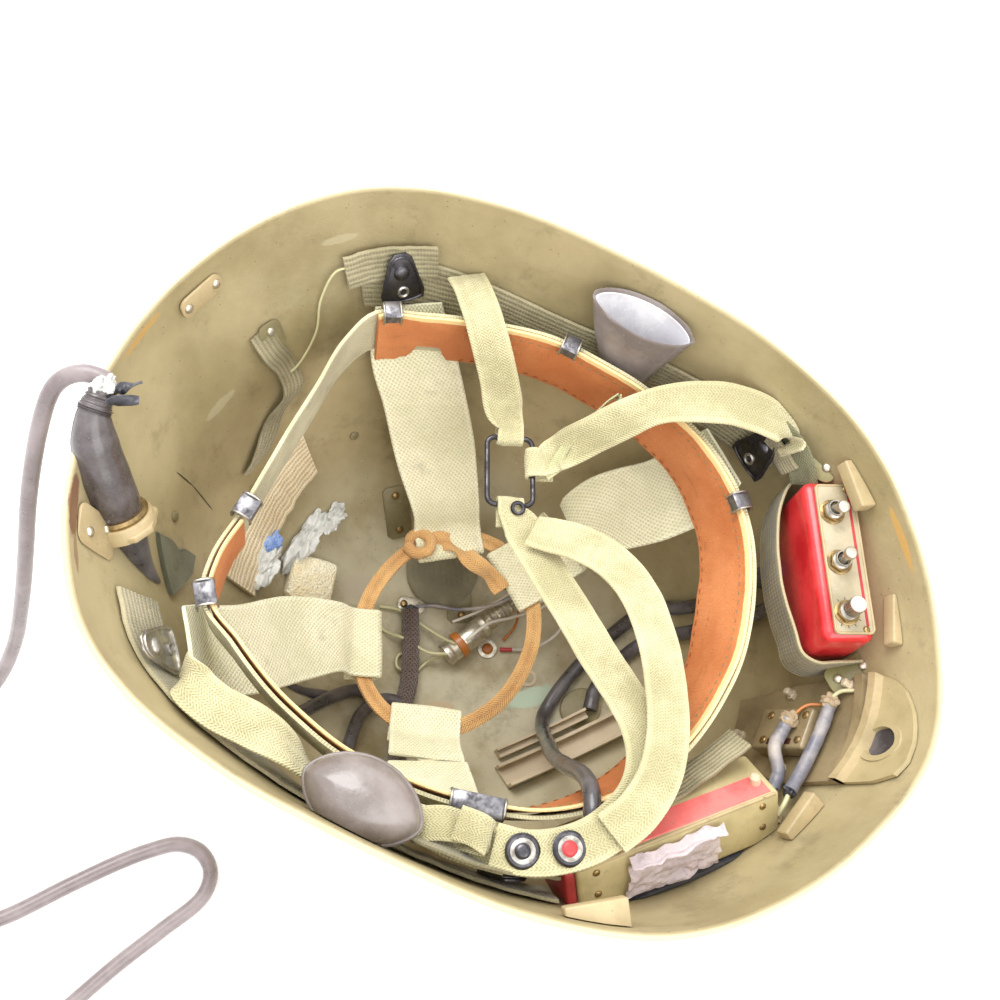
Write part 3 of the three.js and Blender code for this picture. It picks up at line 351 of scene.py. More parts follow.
def apply_modifier(piece: Piece, kind: str, **settings: object) -> None:
    """Adds a modifier with its settings and applies it."""
    start_clean()
    piece.select_set(True)
    bpy.context.view_layer.objects.active = piece
    modifier = piece.modifiers.new(kind.title(), kind)
    for key, value in settings.items():
        setattr(modifier, key, value)
    bpy.ops.object.modifier_apply(modifier=modifier.name)


def grid_piece(
    name: str, points: np.ndarray, uv: Optional[np.ndarray] = None, caps: bool = False, weld: bool = True
) -> Piece:
    """A grid laid through rows of places.

    Args:
        name: The piece's name.
        points: Places in millimetres, rows by columns by 3. A side that closes repeats its first line.
        uv: Distances across and along in millimetres for a pattern, rows by columns by 2.
        caps: Whether open ends are closed with a face.
        weld: Whether points that meet become one.

    Returns:
        The piece in metres.
    """
    rows, columns = points.shape[:2]
    start_clean()
    bpy.ops.mesh.primitive_grid_add(x_subdivisions=columns - 1, y_subdivisions=rows - 1, size=1)
    piece = active(name)
    mesh = piece.data
    flat = np.empty(len(mesh.vertices) * 3)
    mesh.vertices.foreach_get("co", flat)
    start = flat.reshape(-1, 3)
    column = np.rint((start[:, 0] + 0.5) * (columns - 1)).astype(int)
    row = np.rint((start[:, 1] + 0.5) * (rows - 1)).astype(int)
    mesh.vertices.foreach_set("co", points[row, column].ravel())
    if uv is not None:
        vertex = np.empty(len(mesh.loops), int)
        mesh.loops.foreach_get("vertex_index", vertex)
        values = uv[row[vertex], column[vertex]] * MM
        mesh.uv_layers.active.data.foreach_set("uv", values.ravel())
    if caps:
        in_edit(piece)
        bpy.ops.mesh.remove_doubles(threshold=WELD)
        bpy.ops.mesh.select_all(action="SELECT")
        bpy.ops.mesh.fill_holes(sides=0)
    return settle(piece, Matrix.Identity(4), WELD if weld else 1e-7)


def turned(name: str, rows: Rows, place: Matrix, sides: int = 24) -> Piece:
    """A round piece: a circle extruded and resized along its axis.

    Args:
        name: The piece's name.
        rows: Radius and height of each step. A radius of 0 closes an end.
        place: The frame of its axis, in millimetres.
        sides: How many sides the circle has.

    Returns:
        The piece in metres.
    """
    tiny = 0.001
    start_clean()
    first = max(rows[0][0], tiny)
    bpy.ops.mesh.primitive_circle_add(vertices=sides, radius=first, location=(0, 0, rows[0][1]))
    piece = active(name)
    in_edit(piece)
    for (radius, z), (next_radius, next_z) in zip(rows, rows[1:]):
        bpy.ops.mesh.extrude_region_move(TRANSFORM_OT_translate={"value": (0, 0, next_z - z)})
        scale = max(next_radius, tiny) / max(radius, tiny)
        bpy.ops.transform.resize(value=(scale, scale, 1), center_override=(0, 0, next_z))
    return settle(piece, place)


def plate(
    name: str, outline: Rows, thick: float, place: Matrix, bevel: float = 0.3, segments: int = 2
) -> Piece:
    """A flat plate: a filled outline extruded to its thickness, with eased edges.

    Args:
        name: The piece's name.
        outline: Corners x, y in order.
        thick: Thickness along the frame's z axis.
        place: The plate's frame, in millimetres.
        bevel: Width of the eased edge.
        segments: Steps of the eased edge.

    Returns:
        The piece in metres.
    """
    start_clean()
    bpy.ops.mesh.primitive_circle_add(vertices=len(outline), radius=1, fill_type="NGON")
    piece = active(name)
    piece.data.vertices.foreach_set("co", [c for x, y in outline for c in (x, y, 0.0)])
    in_edit(piece)
    bpy.ops.mesh.extrude_region_move(TRANSFORM_OT_translate={"value": (0, 0, thick)})
    bpy.ops.mesh.select_all(action="SELECT")
    bpy.ops.mesh.normals_make_consistent(inside=False)
    start_clean()
    if bevel:
        apply_modifier(piece, "BEVEL", width=bevel, segments=segments, angle_limit=math.radians(50))
    return settle(piece, place, 1e-4)


def blocky(name: str, size: Row, place: Matrix, bevel: float, segments: int = 3) -> Piece:
    """A cube primitive at its size, with all edges eased.

    Args:
        name: The piece's name.
        size: Length along x, y and z.
        place: The frame of its middle, in millimetres.
        bevel: Radius of its edges.
        segments: Steps of each rounded edge.

    Returns:
        The piece in metres.
    """
    start_clean()
    bpy.ops.mesh.primitive_cube_add(size=1)
    piece = active(name)
    in_edit(piece)
    bpy.ops.transform.resize(value=tuple(size))
    bpy.ops.mesh.bevel(offset=bevel, segments=segments, affect="EDGES")
    return settle(piece, place, 1e-4)


def tube(
    name: str, line: np.ndarray, radius: float | np.ndarray, sides: int = 12, closed: bool = False
) -> Piece:
    """A round tube along a line, with a pattern that runs round and along it.

    Args:
        name: The piece's name.
        line: Places along its middle, in millimetres.
        radius: Its radius, or one for each place.
        sides: How many sides it has.
        closed: Whether it is a ring. The line then doesn't repeat its first place.

    Returns:
        The piece in metres.
    """
    if closed:
        line = np.vstack([line, line[0]])
    path = line[:, :3]
    along = np.gradient(path, axis=0)
    if closed:
        along[0] = along[-1] = path[1] - path[-2]
    along = unit(along)
    across = np.cross(along[0], (0.0, 0.0, 1.0))
    if np.linalg.norm(across) < 0.1:
        across = np.cross(along[0], (0.0, 1.0, 0.0))
    first = across = unit(across)
    sides_at = []
    for step in along:
        across = unit(across - step * float(np.dot(across, step)))
        sides_at.append(across)
    across = np.array(sides_at)
    up = np.cross(along, across)
    if closed:
        twist = math.atan2(float(np.dot(first, up[-1])), float(np.dot(first, across[-1])))
        turn = np.linspace(0.0, twist, len(path))[:, None]
        across, up = across * np.cos(turn) + up * np.sin(turn), up * np.cos(turn) - across * np.sin(turn)
    angle = np.linspace(0.0, 2 * math.pi, sides + 1)[None, :, None]
    radii = np.broadcast_to(radius, len(path))[:, None, None]
    ring = across[:, None] * np.cos(angle) + up[:, None] * np.sin(angle)
    points = path[:, None] + ring * radii
    run = run_length(path)
    around = angle[0, :, 0] * float(np.mean(radii))
    uv = np.stack(np.broadcast_arrays(around[None, :], run[:, None]), axis=-1)
    return grid_piece(name, points, uv, caps=not closed)


def ribbon_section(count: int) -> tuple[np.ndarray, np.ndarray]:
    """Places around a strap's section: from -1 to 1 across it, and -1 to 1 through it."""
    angle = np.linspace(0.0, 2 * math.pi, count + 1)
    c, s = np.cos(angle), np.sin(angle)
    across = np.sign(c) * np.abs(c) ** SECTION_ACROSS
    through = np.sign(s) * np.abs(s) ** SECTION_THROUGH
    return across, through


def ribbon(
    name: str, rows: Rows, width: float, thick: float, steps: int, ripple: float = 0.25,
    cup: float = 0.0, sides: int = 20, seed: float = 0.0, closed: bool = False,
) -> Piece:
    """A strap of webbing along a line.

    Args:
        name: The piece's name.
        rows: x, y, z, heading of its width, tilt of its width, width as a share of the full width.
        width: Full width.
        thick: Thickness.
        steps: Samples along it.
        ripple: How far its edges wander.
        cup: How far its middle bulges.
        sides: Points around its section.
        seed: Which ripple it has.
        closed: Whether it is a loop.

    Returns:
        The piece in metres, with distances across and along it as its pattern.
    """
    table = [list(row) + [0.0, 1.0][len(row) - 4 :] if len(row) < 6 else list(row) for row in rows]
    full = []
    for x, y, z, turn, tilt, share in table:
        a, b = math.radians(turn), math.radians(tilt)
        full.append((x, y, z, math.cos(a) * math.cos(b), math.sin(a) * math.cos(b), math.sin(b), share))
    line = spline(full, steps, closed)
    path = line[:, :3]
    along = unit(np.gradient(path, axis=0))
    across = line[:, 3:6]
    across = unit(across - along * np.sum(across * along, axis=1, keepdims=True))
    normal = np.cross(along, across)
    run = run_length(path)
    s, h = ribbon_section(sides)
    half = line[:, 6] * width / 2
    wander = np.array([
        [wobble(seed + r / 9.0, side * 1.3, seed) for side in s] for r in run
    ])
    lift = wander * ripple + cup * (1 - s**2)[None, :]
    points = (
        path[:, None] + across[:, None] * (half[:, None] * s[None, :])[:, :, None]
        + normal[:, None] * (h[None, :] * thick / 2 + lift)[:, :, None]
    )
    uv = np.stack(np.broadcast_arrays((s * width / 2)[None, :], run[:, None]), axis=-1)
    return grid_piece(name, points, uv, caps=not closed)


def joined(name: str, pieces: Iterable[Piece]) -> Piece:
    """Several meshes as one piece."""
    all_pieces = list(pieces)
    start_clean()
    for piece in all_pieces:
        piece.select_set(True)
    bpy.context.view_layer.objects.active = all_pieces[0]
    bpy.ops.object.join()
    return active(name)


def copied(piece: Piece, name: str, move: Matrix) -> Piece:
    """A copy with its own mesh, moved by a matrix in metres."""
    twin = piece.copy()
    twin.data = piece.data.copy()
    bpy.context.collection.objects.link(twin)
    twin.name = twin.data.name = name
    twin.data.transform(move)
    return twin


def placed(matrix_mm: Matrix) -> Matrix:
    """A frame in millimetres as one that moves a mesh in metres."""
    matrix = matrix_mm.copy()
    matrix.translation = matrix.translation * MM
    return matrix


def strewn(name: str, model: Piece, places: Sequence[Matrix]) -> Piece:
    """One piece of many copies of a model, which is itself removed."""
    twins = [copied(model, f"{name}_{i}", placed(m)) for i, m in enumerate(places)]
    bpy.data.objects.remove(model)
    return joined(name, twins)


def stitches(name: str, line: np.ndarray, normals: np.ndarray, size: Row) -> Piece:
    """Sewn thread along a line.

    Args:
        name: The piece's name.
        line: Places of the seam, in millimetres.
        normals: The cloth's normal at each place.
        size: Length of a stitch, gap between two, and radius of the thread.

    Returns:
        The stitches as one piece in metres.
    """
    long, gap, radius = size
    run = run_length(line)
    count = max(int(run[-1] / (long + gap)), 2)
    even = evenly(np.hstack([line[:, :3], normals]), count * 2 + 1)
    start_clean()
    bpy.ops.mesh.primitive_ico_sphere_add(subdivisions=1, radius=1)
    model = active(name + "_stitch")
    model.data.transform(Matrix.Diagonal((long / 2 * MM, radius * MM, radius * MM, 1.0)))
    places = []
    for i in range(count):
        here, there = even[2 * i], even[2 * i + 1]
        places.append(frame_at(here[:3], there[:3] - here[:3], here[3:6]))
    return strewn(name, model, places)


# Finishes

Colour = tuple[float, float, float]
Socket = bpy.types.NodeSocket


def lit(red: int, green: int, blue: int) -> Colour:
    """A screen colour from 0 to 255 as the linear colour that a shader takes."""
    parts = [c / 255 for c in (red, green, blue)]
    return tuple(c / 12.92 if c <= 0.04045 else ((c + 0.055) / 1.055) ** 2.4 for c in parts)


def shade(colour: Colour, share: float) -> Colour:
    """A darker or lighter colour, by a share of each part."""
    return tuple(min(c * share, 1.0) for c in colour)


class Shader:
    """A node material that is put together step by step."""

    def __init__(self, name: str) -> None:
        """Starts a material with its principled surface."""
        self.material = bpy.data.materials.new(name)
        self.material.use_nodes = True
        self.tree = self.material.node_tree
        self.surface = self.tree.nodes["Principled BSDF"]
        self.where = self.node("ShaderNodeTexCoord", {}).outputs

    def feed(self, socket: Socket, value: object) -> None:
        """Links a socket to a value that varies, or sets it to one that doesn't."""
        if isinstance(value, bpy.types.NodeSocket):
            self.tree.links.new(value, socket)
        else:
            if socket.type == "RGBA" and len(value) == 3:
                value = (*value, 1.0)
            socket.default_value = value

    def node(self, kind: str, inputs: dict, **settings: object) -> bpy.types.Node:
        """Adds a node.

        Args:
            kind: The node's type.
            inputs: What its sockets take, by name or number.
            settings: Its own settings.

        Returns:
            The node.
        """
        made = self.tree.nodes.new(kind)
        for key, value in settings.items():
            setattr(made, key, value)
        for key, value in inputs.items():
            self.feed(made.inputs[key], value)
        return made

    def place(self) -> Socket:
        """Place on the object, in metres."""
        return self.where["Object"]

    def cloth(self) -> Socket:
        """Distance across and along a piece, in metres."""
        return self.where["UV"]

    def attribute(self, name: str) -> Socket:
        """A number that is stored on the mesh."""
        return self.node("ShaderNodeAttribute", {}, attribute_name=name).outputs["Fac"]

    def across_along(self) -> tuple[Socket, Socket]:
        """Distance across a piece and along it, as two numbers."""
        split = self.node("ShaderNodeSeparateXYZ", {0: self.cloth()}).outputs
        return split[0], split[1]

    def noise(
        self, scale: float, detail: float = 4.0, rough: float = 0.55, where: Optional[Socket] = None,
    ) -> Socket:
        """Cloudy noise with so many clouds in a metre."""
        inputs = {"Vector": where or self.place(), "Scale": scale, "Detail": detail, "Roughness": rough}
        return self.node("ShaderNodeTexNoise", inputs).outputs["Fac"]

    def cells(self, scale: float, feature: str = "F1", where: Optional[Socket] = None) -> Socket:
        """Distance to the nearest point or border of a cell pattern."""
        inputs = {"Vector": where or self.place(), "Scale": scale}
        return self.node("ShaderNodeTexVoronoi", inputs, feature=feature).outputs["Distance"]

    def stretched(self, where: Socket, scale: Row, turn: Row = (0, 0, 0), about: Row = (0, 0, 0)) -> Socket:
        """A place measured in a turned and stretched frame about a point in metres."""
        inputs = {"Vector": where, "Location": tuple(about), "Rotation": tuple(turn), "Scale": tuple(scale)}
        return self.node("ShaderNodeMapping", inputs, vector_type="TEXTURE").outputs[0]

    def math(self, operation: str, a: object, b: object = 0.0, c: object = 0.0) -> Socket:
        """One step of arithmetic."""
        return self.node("ShaderNodeMath", {0: a, 1: b, 2: c}, operation=operation).outputs[0]

    def span(self, value: Socket, low: float, high: float, start: float = 0.0, end: float = 1.0) -> Socket:
        """Maps a range of a value smoothly to another range, with both ends held."""
        inputs = {"Value": value, "From Min": low, "From Max": high, "To Min": start, "To Max": end}
        return self.node("ShaderNodeMapRange", inputs, interpolation_type="SMOOTHSTEP").outputs["Result"]

    def mix(self, share: object, a: object, b: object, blend: str = "MIX") -> Socket:
        """Mixes two colours."""
        made = self.node("ShaderNodeMix", {0: share, 6: a, 7: b}, data_type="RGBA", blend_type=blend)
        return made.outputs[2]

    def bump(
        self, height: Socket, depth: float, strength: float = 1.0, below: Optional[Socket] = None,
    ) -> Socket:
        """Relief with a depth in metres, on top of another relief if there is one."""
        inputs = {"Height": height, "Distance": depth, "Strength": strength}
        if below is not None:
            inputs["Normal"] = below
        return self.node("ShaderNodeBump", inputs).outputs["Normal"]

    def blot(self, place: Matrix, size: Row, ragged: float = 0.35, scale: float = 260.0) -> Socket:
        """A ragged mark at one place: 1 in it and 0 outside it.

        Args:
            place: The mark's frame, in millimetres.
            size: Half its size along the frame's axes, in millimetres.
            ragged: How far its edge wanders.
            scale: How fine its edge is.

        Returns:
            The mark's strength.
        """
        turn = place.to_euler("XYZ")
        where = self.stretched(self.place(), [s * MM for s in size], turn, place.translation * MM)
        reach = self.node("ShaderNodeVectorMath", {0: where}, operation="LENGTH").outputs["Value"]
        edge = self.math("MULTIPLY_ADD", self.noise(scale, 5.0, 0.65), ragged * 2, reach)
        return self.span(edge, 0.8 + ragged, 1.1 + ragged, 1.0, 0.0)

    def finish(self, **values: object) -> bpy.types.Material:
        """Sets the surface's sockets by name, with _ for a space, and gives the material."""
        for key, value in values.items():
            self.feed(self.surface.inputs[key.replace("_", " ")], value)
        return self.material


class Pattern(Enum):
    """How a strap is woven."""

    PLAIN = "plain"
    CHEVRON = "chevron"
    RIBBED = "ribbed"
    TWILL = "twill"


@dataclass(frozen=True)
class Webbing:
    """Woven cotton, with its pattern laid by the distance across and along the strap."""

    name: str
    light: Colour
    dark: Colour
    pattern: Pattern
    pitch: float = 1.5
    half_width: float = 14.0
    edge: Optional[Colour] = None
    relief: float = 0.00035
    soil: float = 0.45

    def weave(self, shader: Shader) -> Socket:
        """Height of the yarn, from 0 in the gaps to 1 on top."""
        u, v = shader.across_along()
        turn = math.tau / (self.pitch * MM)
        if self.pattern is Pattern.PLAIN:
            a = shader.math("SINE", shader.math("MULTIPLY", u, turn))
            b = shader.math("SINE", shader.math("MULTIPLY", v, turn * 0.8))
            return shader.math("MULTIPLY_ADD", shader.math("MULTIPLY", a, b), 0.5, 0.5)
        if self.pattern is Pattern.RIBBED:
            a = shader.math("SINE", shader.math("MULTIPLY", u, turn))
            b = shader.math("SINE", shader.math("MULTIPLY", v, turn * 1.6))
            both = shader.math("MULTIPLY_ADD", a, 0.38, shader.math("MULTIPLY", b, 0.14))
            return shader.math("ADD", both, 0.5)
        zigzag = shader.math(
            "PINGPONG", u, self.half_width * MM / 3 if self.pattern is Pattern.CHEVRON else 1.0,
        )
        slant = shader.math("MULTIPLY", shader.math("ADD", v, zigzag), turn)
        yarn = shader.math("SINE", shader.math("MULTIPLY", u, turn * 1.25))
        both = shader.math(
            "MULTIPLY_ADD", shader.math("SINE", slant), 0.36, shader.math("MULTIPLY", yarn, 0.14),
        )
        return shader.math("ADD", both, 0.5)

    def make(self) -> bpy.types.Material:
        """Builds the material."""
        shader = Shader(self.name)
        u, _ = shader.across_along()
        weave = self.weave(shader)
        fibre = shader.noise(1900, 3, 0.7)
        fading = shader.span(shader.noise(34, 5, 0.6), 0.36, 0.66)
        body = shader.mix(fading, self.dark, self.light)
        # Painted shade: the gaps between the yarns are darkened.
        gaps = shader.span(weave, 0.05, 0.6, 0.5, 0.0)
        colour = shader.mix(gaps, body, shade(self.dark, 0.45))
        fluff = shader.span(fibre, 0.5, 0.75, 0.0, 0.35)
        colour = shader.mix(fluff, colour, shade(self.light, 1.35))
        soil = shader.math("MULTIPLY", shader.span(shader.noise(70, 6, 0.7), 0.55, 0.78), self.soil)
        colour = shader.mix(soil, colour, shade(self.dark, 0.42))
        side = shader.math("ABSOLUTE", u)
        if self.edge:
            rim = shader.span(side, (self.half_width - 1.6) * MM, (self.half_width - 0.6) * MM)
            colour = shader.mix(rim, colour, self.edge)
        else:
            rim = shader.span(side, (self.half_width - 2.6) * MM, (self.half_width - 1.4) * MM, 0.0, 0.22)
            colour = shader.mix(rim, colour, shade(self.light, 1.25))
        relief = shader.bump(weave, self.relief)
        relief = shader.bump(fibre, 0.00016, 0.8, relief)
        relief = shader.bump(shader.noise(120, 3), 0.0009, 0.6, relief)
        return shader.finish(
            Base_Color=colour, Roughness=0.92, Normal=relief, Sheen_Weight=0.25, Sheen_Roughness=0.5,
            Specular_IOR_Level=0.2,
        )


@dataclass(frozen=True)
class Leather:
    """Orange sweatband leather: fine grain, dark handling marks and a pale top edge."""

    name: str
    light: Colour
    dark: Colour
    edge: Colour

    def make(self) -> bpy.types.Material:
        """Builds the material."""
        shader = Shader(self.name)
        cloud = shader.span(shader.noise(26, 6, 0.62), 0.32, 0.68)
        colour = shader.mix(cloud, self.dark, self.light)
        grain = shader.cells(1500)
        colour = shader.mix(shader.span(grain, 0.25, 0.6, 0.0, 0.3), colour, self.dark)
        streak = shader.noise(55, 5, 0.7, shader.stretched(shader.cloth(), (0.22, 1.6, 1.0)))
        colour = shader.mix(shader.span(streak, 0.57, 0.72, 0.0, 0.75), colour, shade(self.dark, 0.6))
        # The colour pales towards the top edge.
        top = shader.attribute("top")
        pale_edge = shader.math("MULTIPLY_ADD", shader.noise(160, 4, 0.6), 0.5, shader.math("SUBTRACT", top, 0.25))
        colour = shader.mix(shader.span(pale_edge, 0.72, 0.9), colour, self.edge)
        crease = shader.noise(210, 4, 0.6, shader.stretched(shader.cloth(), (1.0, 0.35, 1.0)))
        relief = shader.bump(grain, 0.00018)
        relief = shader.bump(crease, 0.0009, 0.5, relief)
        rough = shader.span(cloud, 0.0, 1.0, 0.5, 0.68)
        return shader.finish(
            Base_Color=colour, Roughness=rough, Normal=relief, Coat_Weight=0.08, Coat_Roughness=0.4,
        )


@dataclass(frozen=True)
class Paint:
    """Brushed or sprayed paint on metal, with chips, grime and a soft orange-peel surface."""

    name: str
    light: Colour
    dark: Colour
    chip: Colour
    roughness: float = 0.45
    chips: float = 0.3
    grime: float = 0.35
    peel: float = 0.00025
    coat: float = 0.0

    def make(self) -> bpy.types.Material:
        """Builds the material."""
        shader = Shader(self.name)
        colour = shader.mix(shader.span(shader.noise(60, 5, 0.6), 0.35, 0.65), self.dark, self.light)
        dirt = shader.span(shader.noise(120, 7, 0.68), 0.5, 0.75, 0.0, self.grime)
        colour = shader.mix(dirt, colour, shade(self.dark, 0.3))
        flecks = shader.noise(420, 5, 0.7)
        bare = shader.span(flecks, 0.72 - self.chips * 0.12, 0.74 - self.chips * 0.12)
        colour = shader.mix(bare, colour, self.chip)
        relief = shader.bump(shader.noise(700, 2), self.peel, 0.35)
        relief = shader.bump(shader.math("SUBTRACT", 1.0, bare), 0.0002, 1.0, relief)
        rough = shader.math("MULTIPLY_ADD", dirt, 0.5, self.roughness)
        return shader.finish(
            Base_Color=colour, Roughness=rough, Normal=relief, Coat_Weight=self.coat, Coat_Roughness=0.15
        )


@dataclass(frozen=True)
class Metal:
    """Plated or bare metal with fine scratches and dull, dirty hollows."""

    name: str
    light: Colour
    dark: Colour
    roughness: float = 0.32
    rust: float = 0.0

    def make(self) -> bpy.types.Material:
        """Builds the material."""
        shader = Shader(self.name)
        stain = shader.span(shader.noise(240, 6, 0.65), 0.38, 0.7)
        colour = shader.mix(stain, self.light, self.dark)
        if self.rust:
            spots = shader.span(shader.noise(330, 6, 0.7), 0.62 - self.rust * 0.1, 0.72)
            colour = shader.mix(spots, colour, lit(112, 70, 42))
        scratch = shader.noise(900, 3, 0.6, shader.stretched(shader.place(), (1.0, 9.0, 1.0)))
        relief = shader.bump(scratch, 0.00012, 0.5)
        metallic = shader.span(stain, 0.3, 1.0, 1.0, 0.62)
        rough = shader.math("MULTIPLY_ADD", stain, 0.28, self.roughness)
        return shader.finish(Base_Color=colour, Metallic=metallic, Roughness=rough, Normal=relief)


@dataclass(frozen=True)
class Rubber:
    """Old rubber or moulded plastic with a dusty bloom and rubbed high spots."""

    name: str
    base: Colour
    bloom: Colour
    roughness: float = 0.42
    dust: float = 0.5
    coat: float = 0.0

    def make(self) -> bpy.types.Material:
        """Builds the material."""
        shader = Shader(self.name)
        cloud = shader.noise(48, 6, 0.62)
        colour = shader.mix(shader.span(cloud, 0.38, 0.72, 0.0, self.dust), self.base, self.bloom)
        speck = shader.span(shader.noise(850, 4, 0.75), 0.62, 0.72, 0.0, 0.6)
        colour = shader.mix(speck, colour, self.bloom)
        relief = shader.bump(shader.noise(520, 4, 0.6), 0.0003, 0.4)
        relief = shader.bump(shader.noise(90, 3), 0.0008, 0.3, relief)
        rough = shader.span(cloud, 0.3, 0.7, self.roughness - 0.08, self.roughness + 0.2)
        return shader.finish(
            Base_Color=colour, Roughness=rough, Normal=relief, Coat_Weight=self.coat, Coat_Roughness=0.2
        )


@dataclass(frozen=True)
class Braid:
    """Fuzzy braided sleeve: two sets of yarn that cross round a lead."""

    name: str
    light: Colour
    dark: Colour
    pitch: float = 2.2

    def make(self) -> bpy.types.Material:
        """Builds the material."""
        shader = Shader(self.name)
        u, v = shader.across_along()
        turn = math.tau / (self.pitch * MM)
        left = shader.math("SINE", shader.math("MULTIPLY", shader.math("ADD", u, v), turn))
        right = shader.math("SINE", shader.math("MULTIPLY", shader.math("SUBTRACT", u, v), turn))
        yarn = shader.math("MULTIPLY_ADD", shader.math("MAXIMUM", left, right), 0.5, 0.5)
        # Painted shade: the colour darkens where the yarns lie low, between the crossings.
        colour = shader.mix(yarn, self.dark, self.light)
        fuzz = shader.noise(1500, 4, 0.75)
        colour = shader.mix(shader.span(fuzz, 0.55, 0.75, 0.0, 0.5), colour, shade(self.light, 2.2))
        relief = shader.bump(yarn, 0.0006)
        relief = shader.bump(fuzz, 0.0003, 0.8, relief)
        return shader.finish(Base_Color=colour, Roughness=0.9, Normal=relief, Sheen_Weight=0.4)


@dataclass(frozen=True)
class Foam:
    """Yellowed foam with open pores."""

    name: str
    light: Colour
    dark: Colour

    def make(self) -> bpy.types.Material:
        """Builds the material."""
        shader = Shader(self.name)
        pores = shader.cells(950)
        colour = shader.mix(shader.span(shader.noise(90, 5), 0.35, 0.7), self.light, self.dark)
        # Painted shade: the pores are darkened.
        colour = shader.mix(shader.span(pores, 0.0, 0.35, 0.55, 0.0), colour, shade(self.dark, 0.45))
        relief = shader.bump(pores, 0.0008)
        return shader.finish(Base_Color=colour, Roughness=0.95, Normal=relief, Sheen_Weight=0.2)


@dataclass(frozen=True)
class Film:
    """Crumpled clear tape, hazy and pinkish where its glue has aged."""

    name: str
    light: Colour
    dark: Colour
    through: float = 0.35

    def make(self) -> bpy.types.Material:
        """Builds the material."""
        shader = Shader(self.name)
        haze = shader.span(shader.noise(95, 6, 0.65), 0.42, 0.66)
        colour = shader.mix(haze, self.light, self.dark)
        relief = shader.bump(shader.cells(150, "SMOOTH_F1"), 0.004, 0.6)
        relief = shader.bump(shader.noise(420, 4, 0.6), 0.0009, 0.5, relief)
        clear = shader.span(haze, 0.0, 1.0, 1.0 - self.through, 0.97)
        return shader.finish(Base_Color=colour, Roughness=0.22, Normal=relief, Alpha=clear, IOR=1.48)


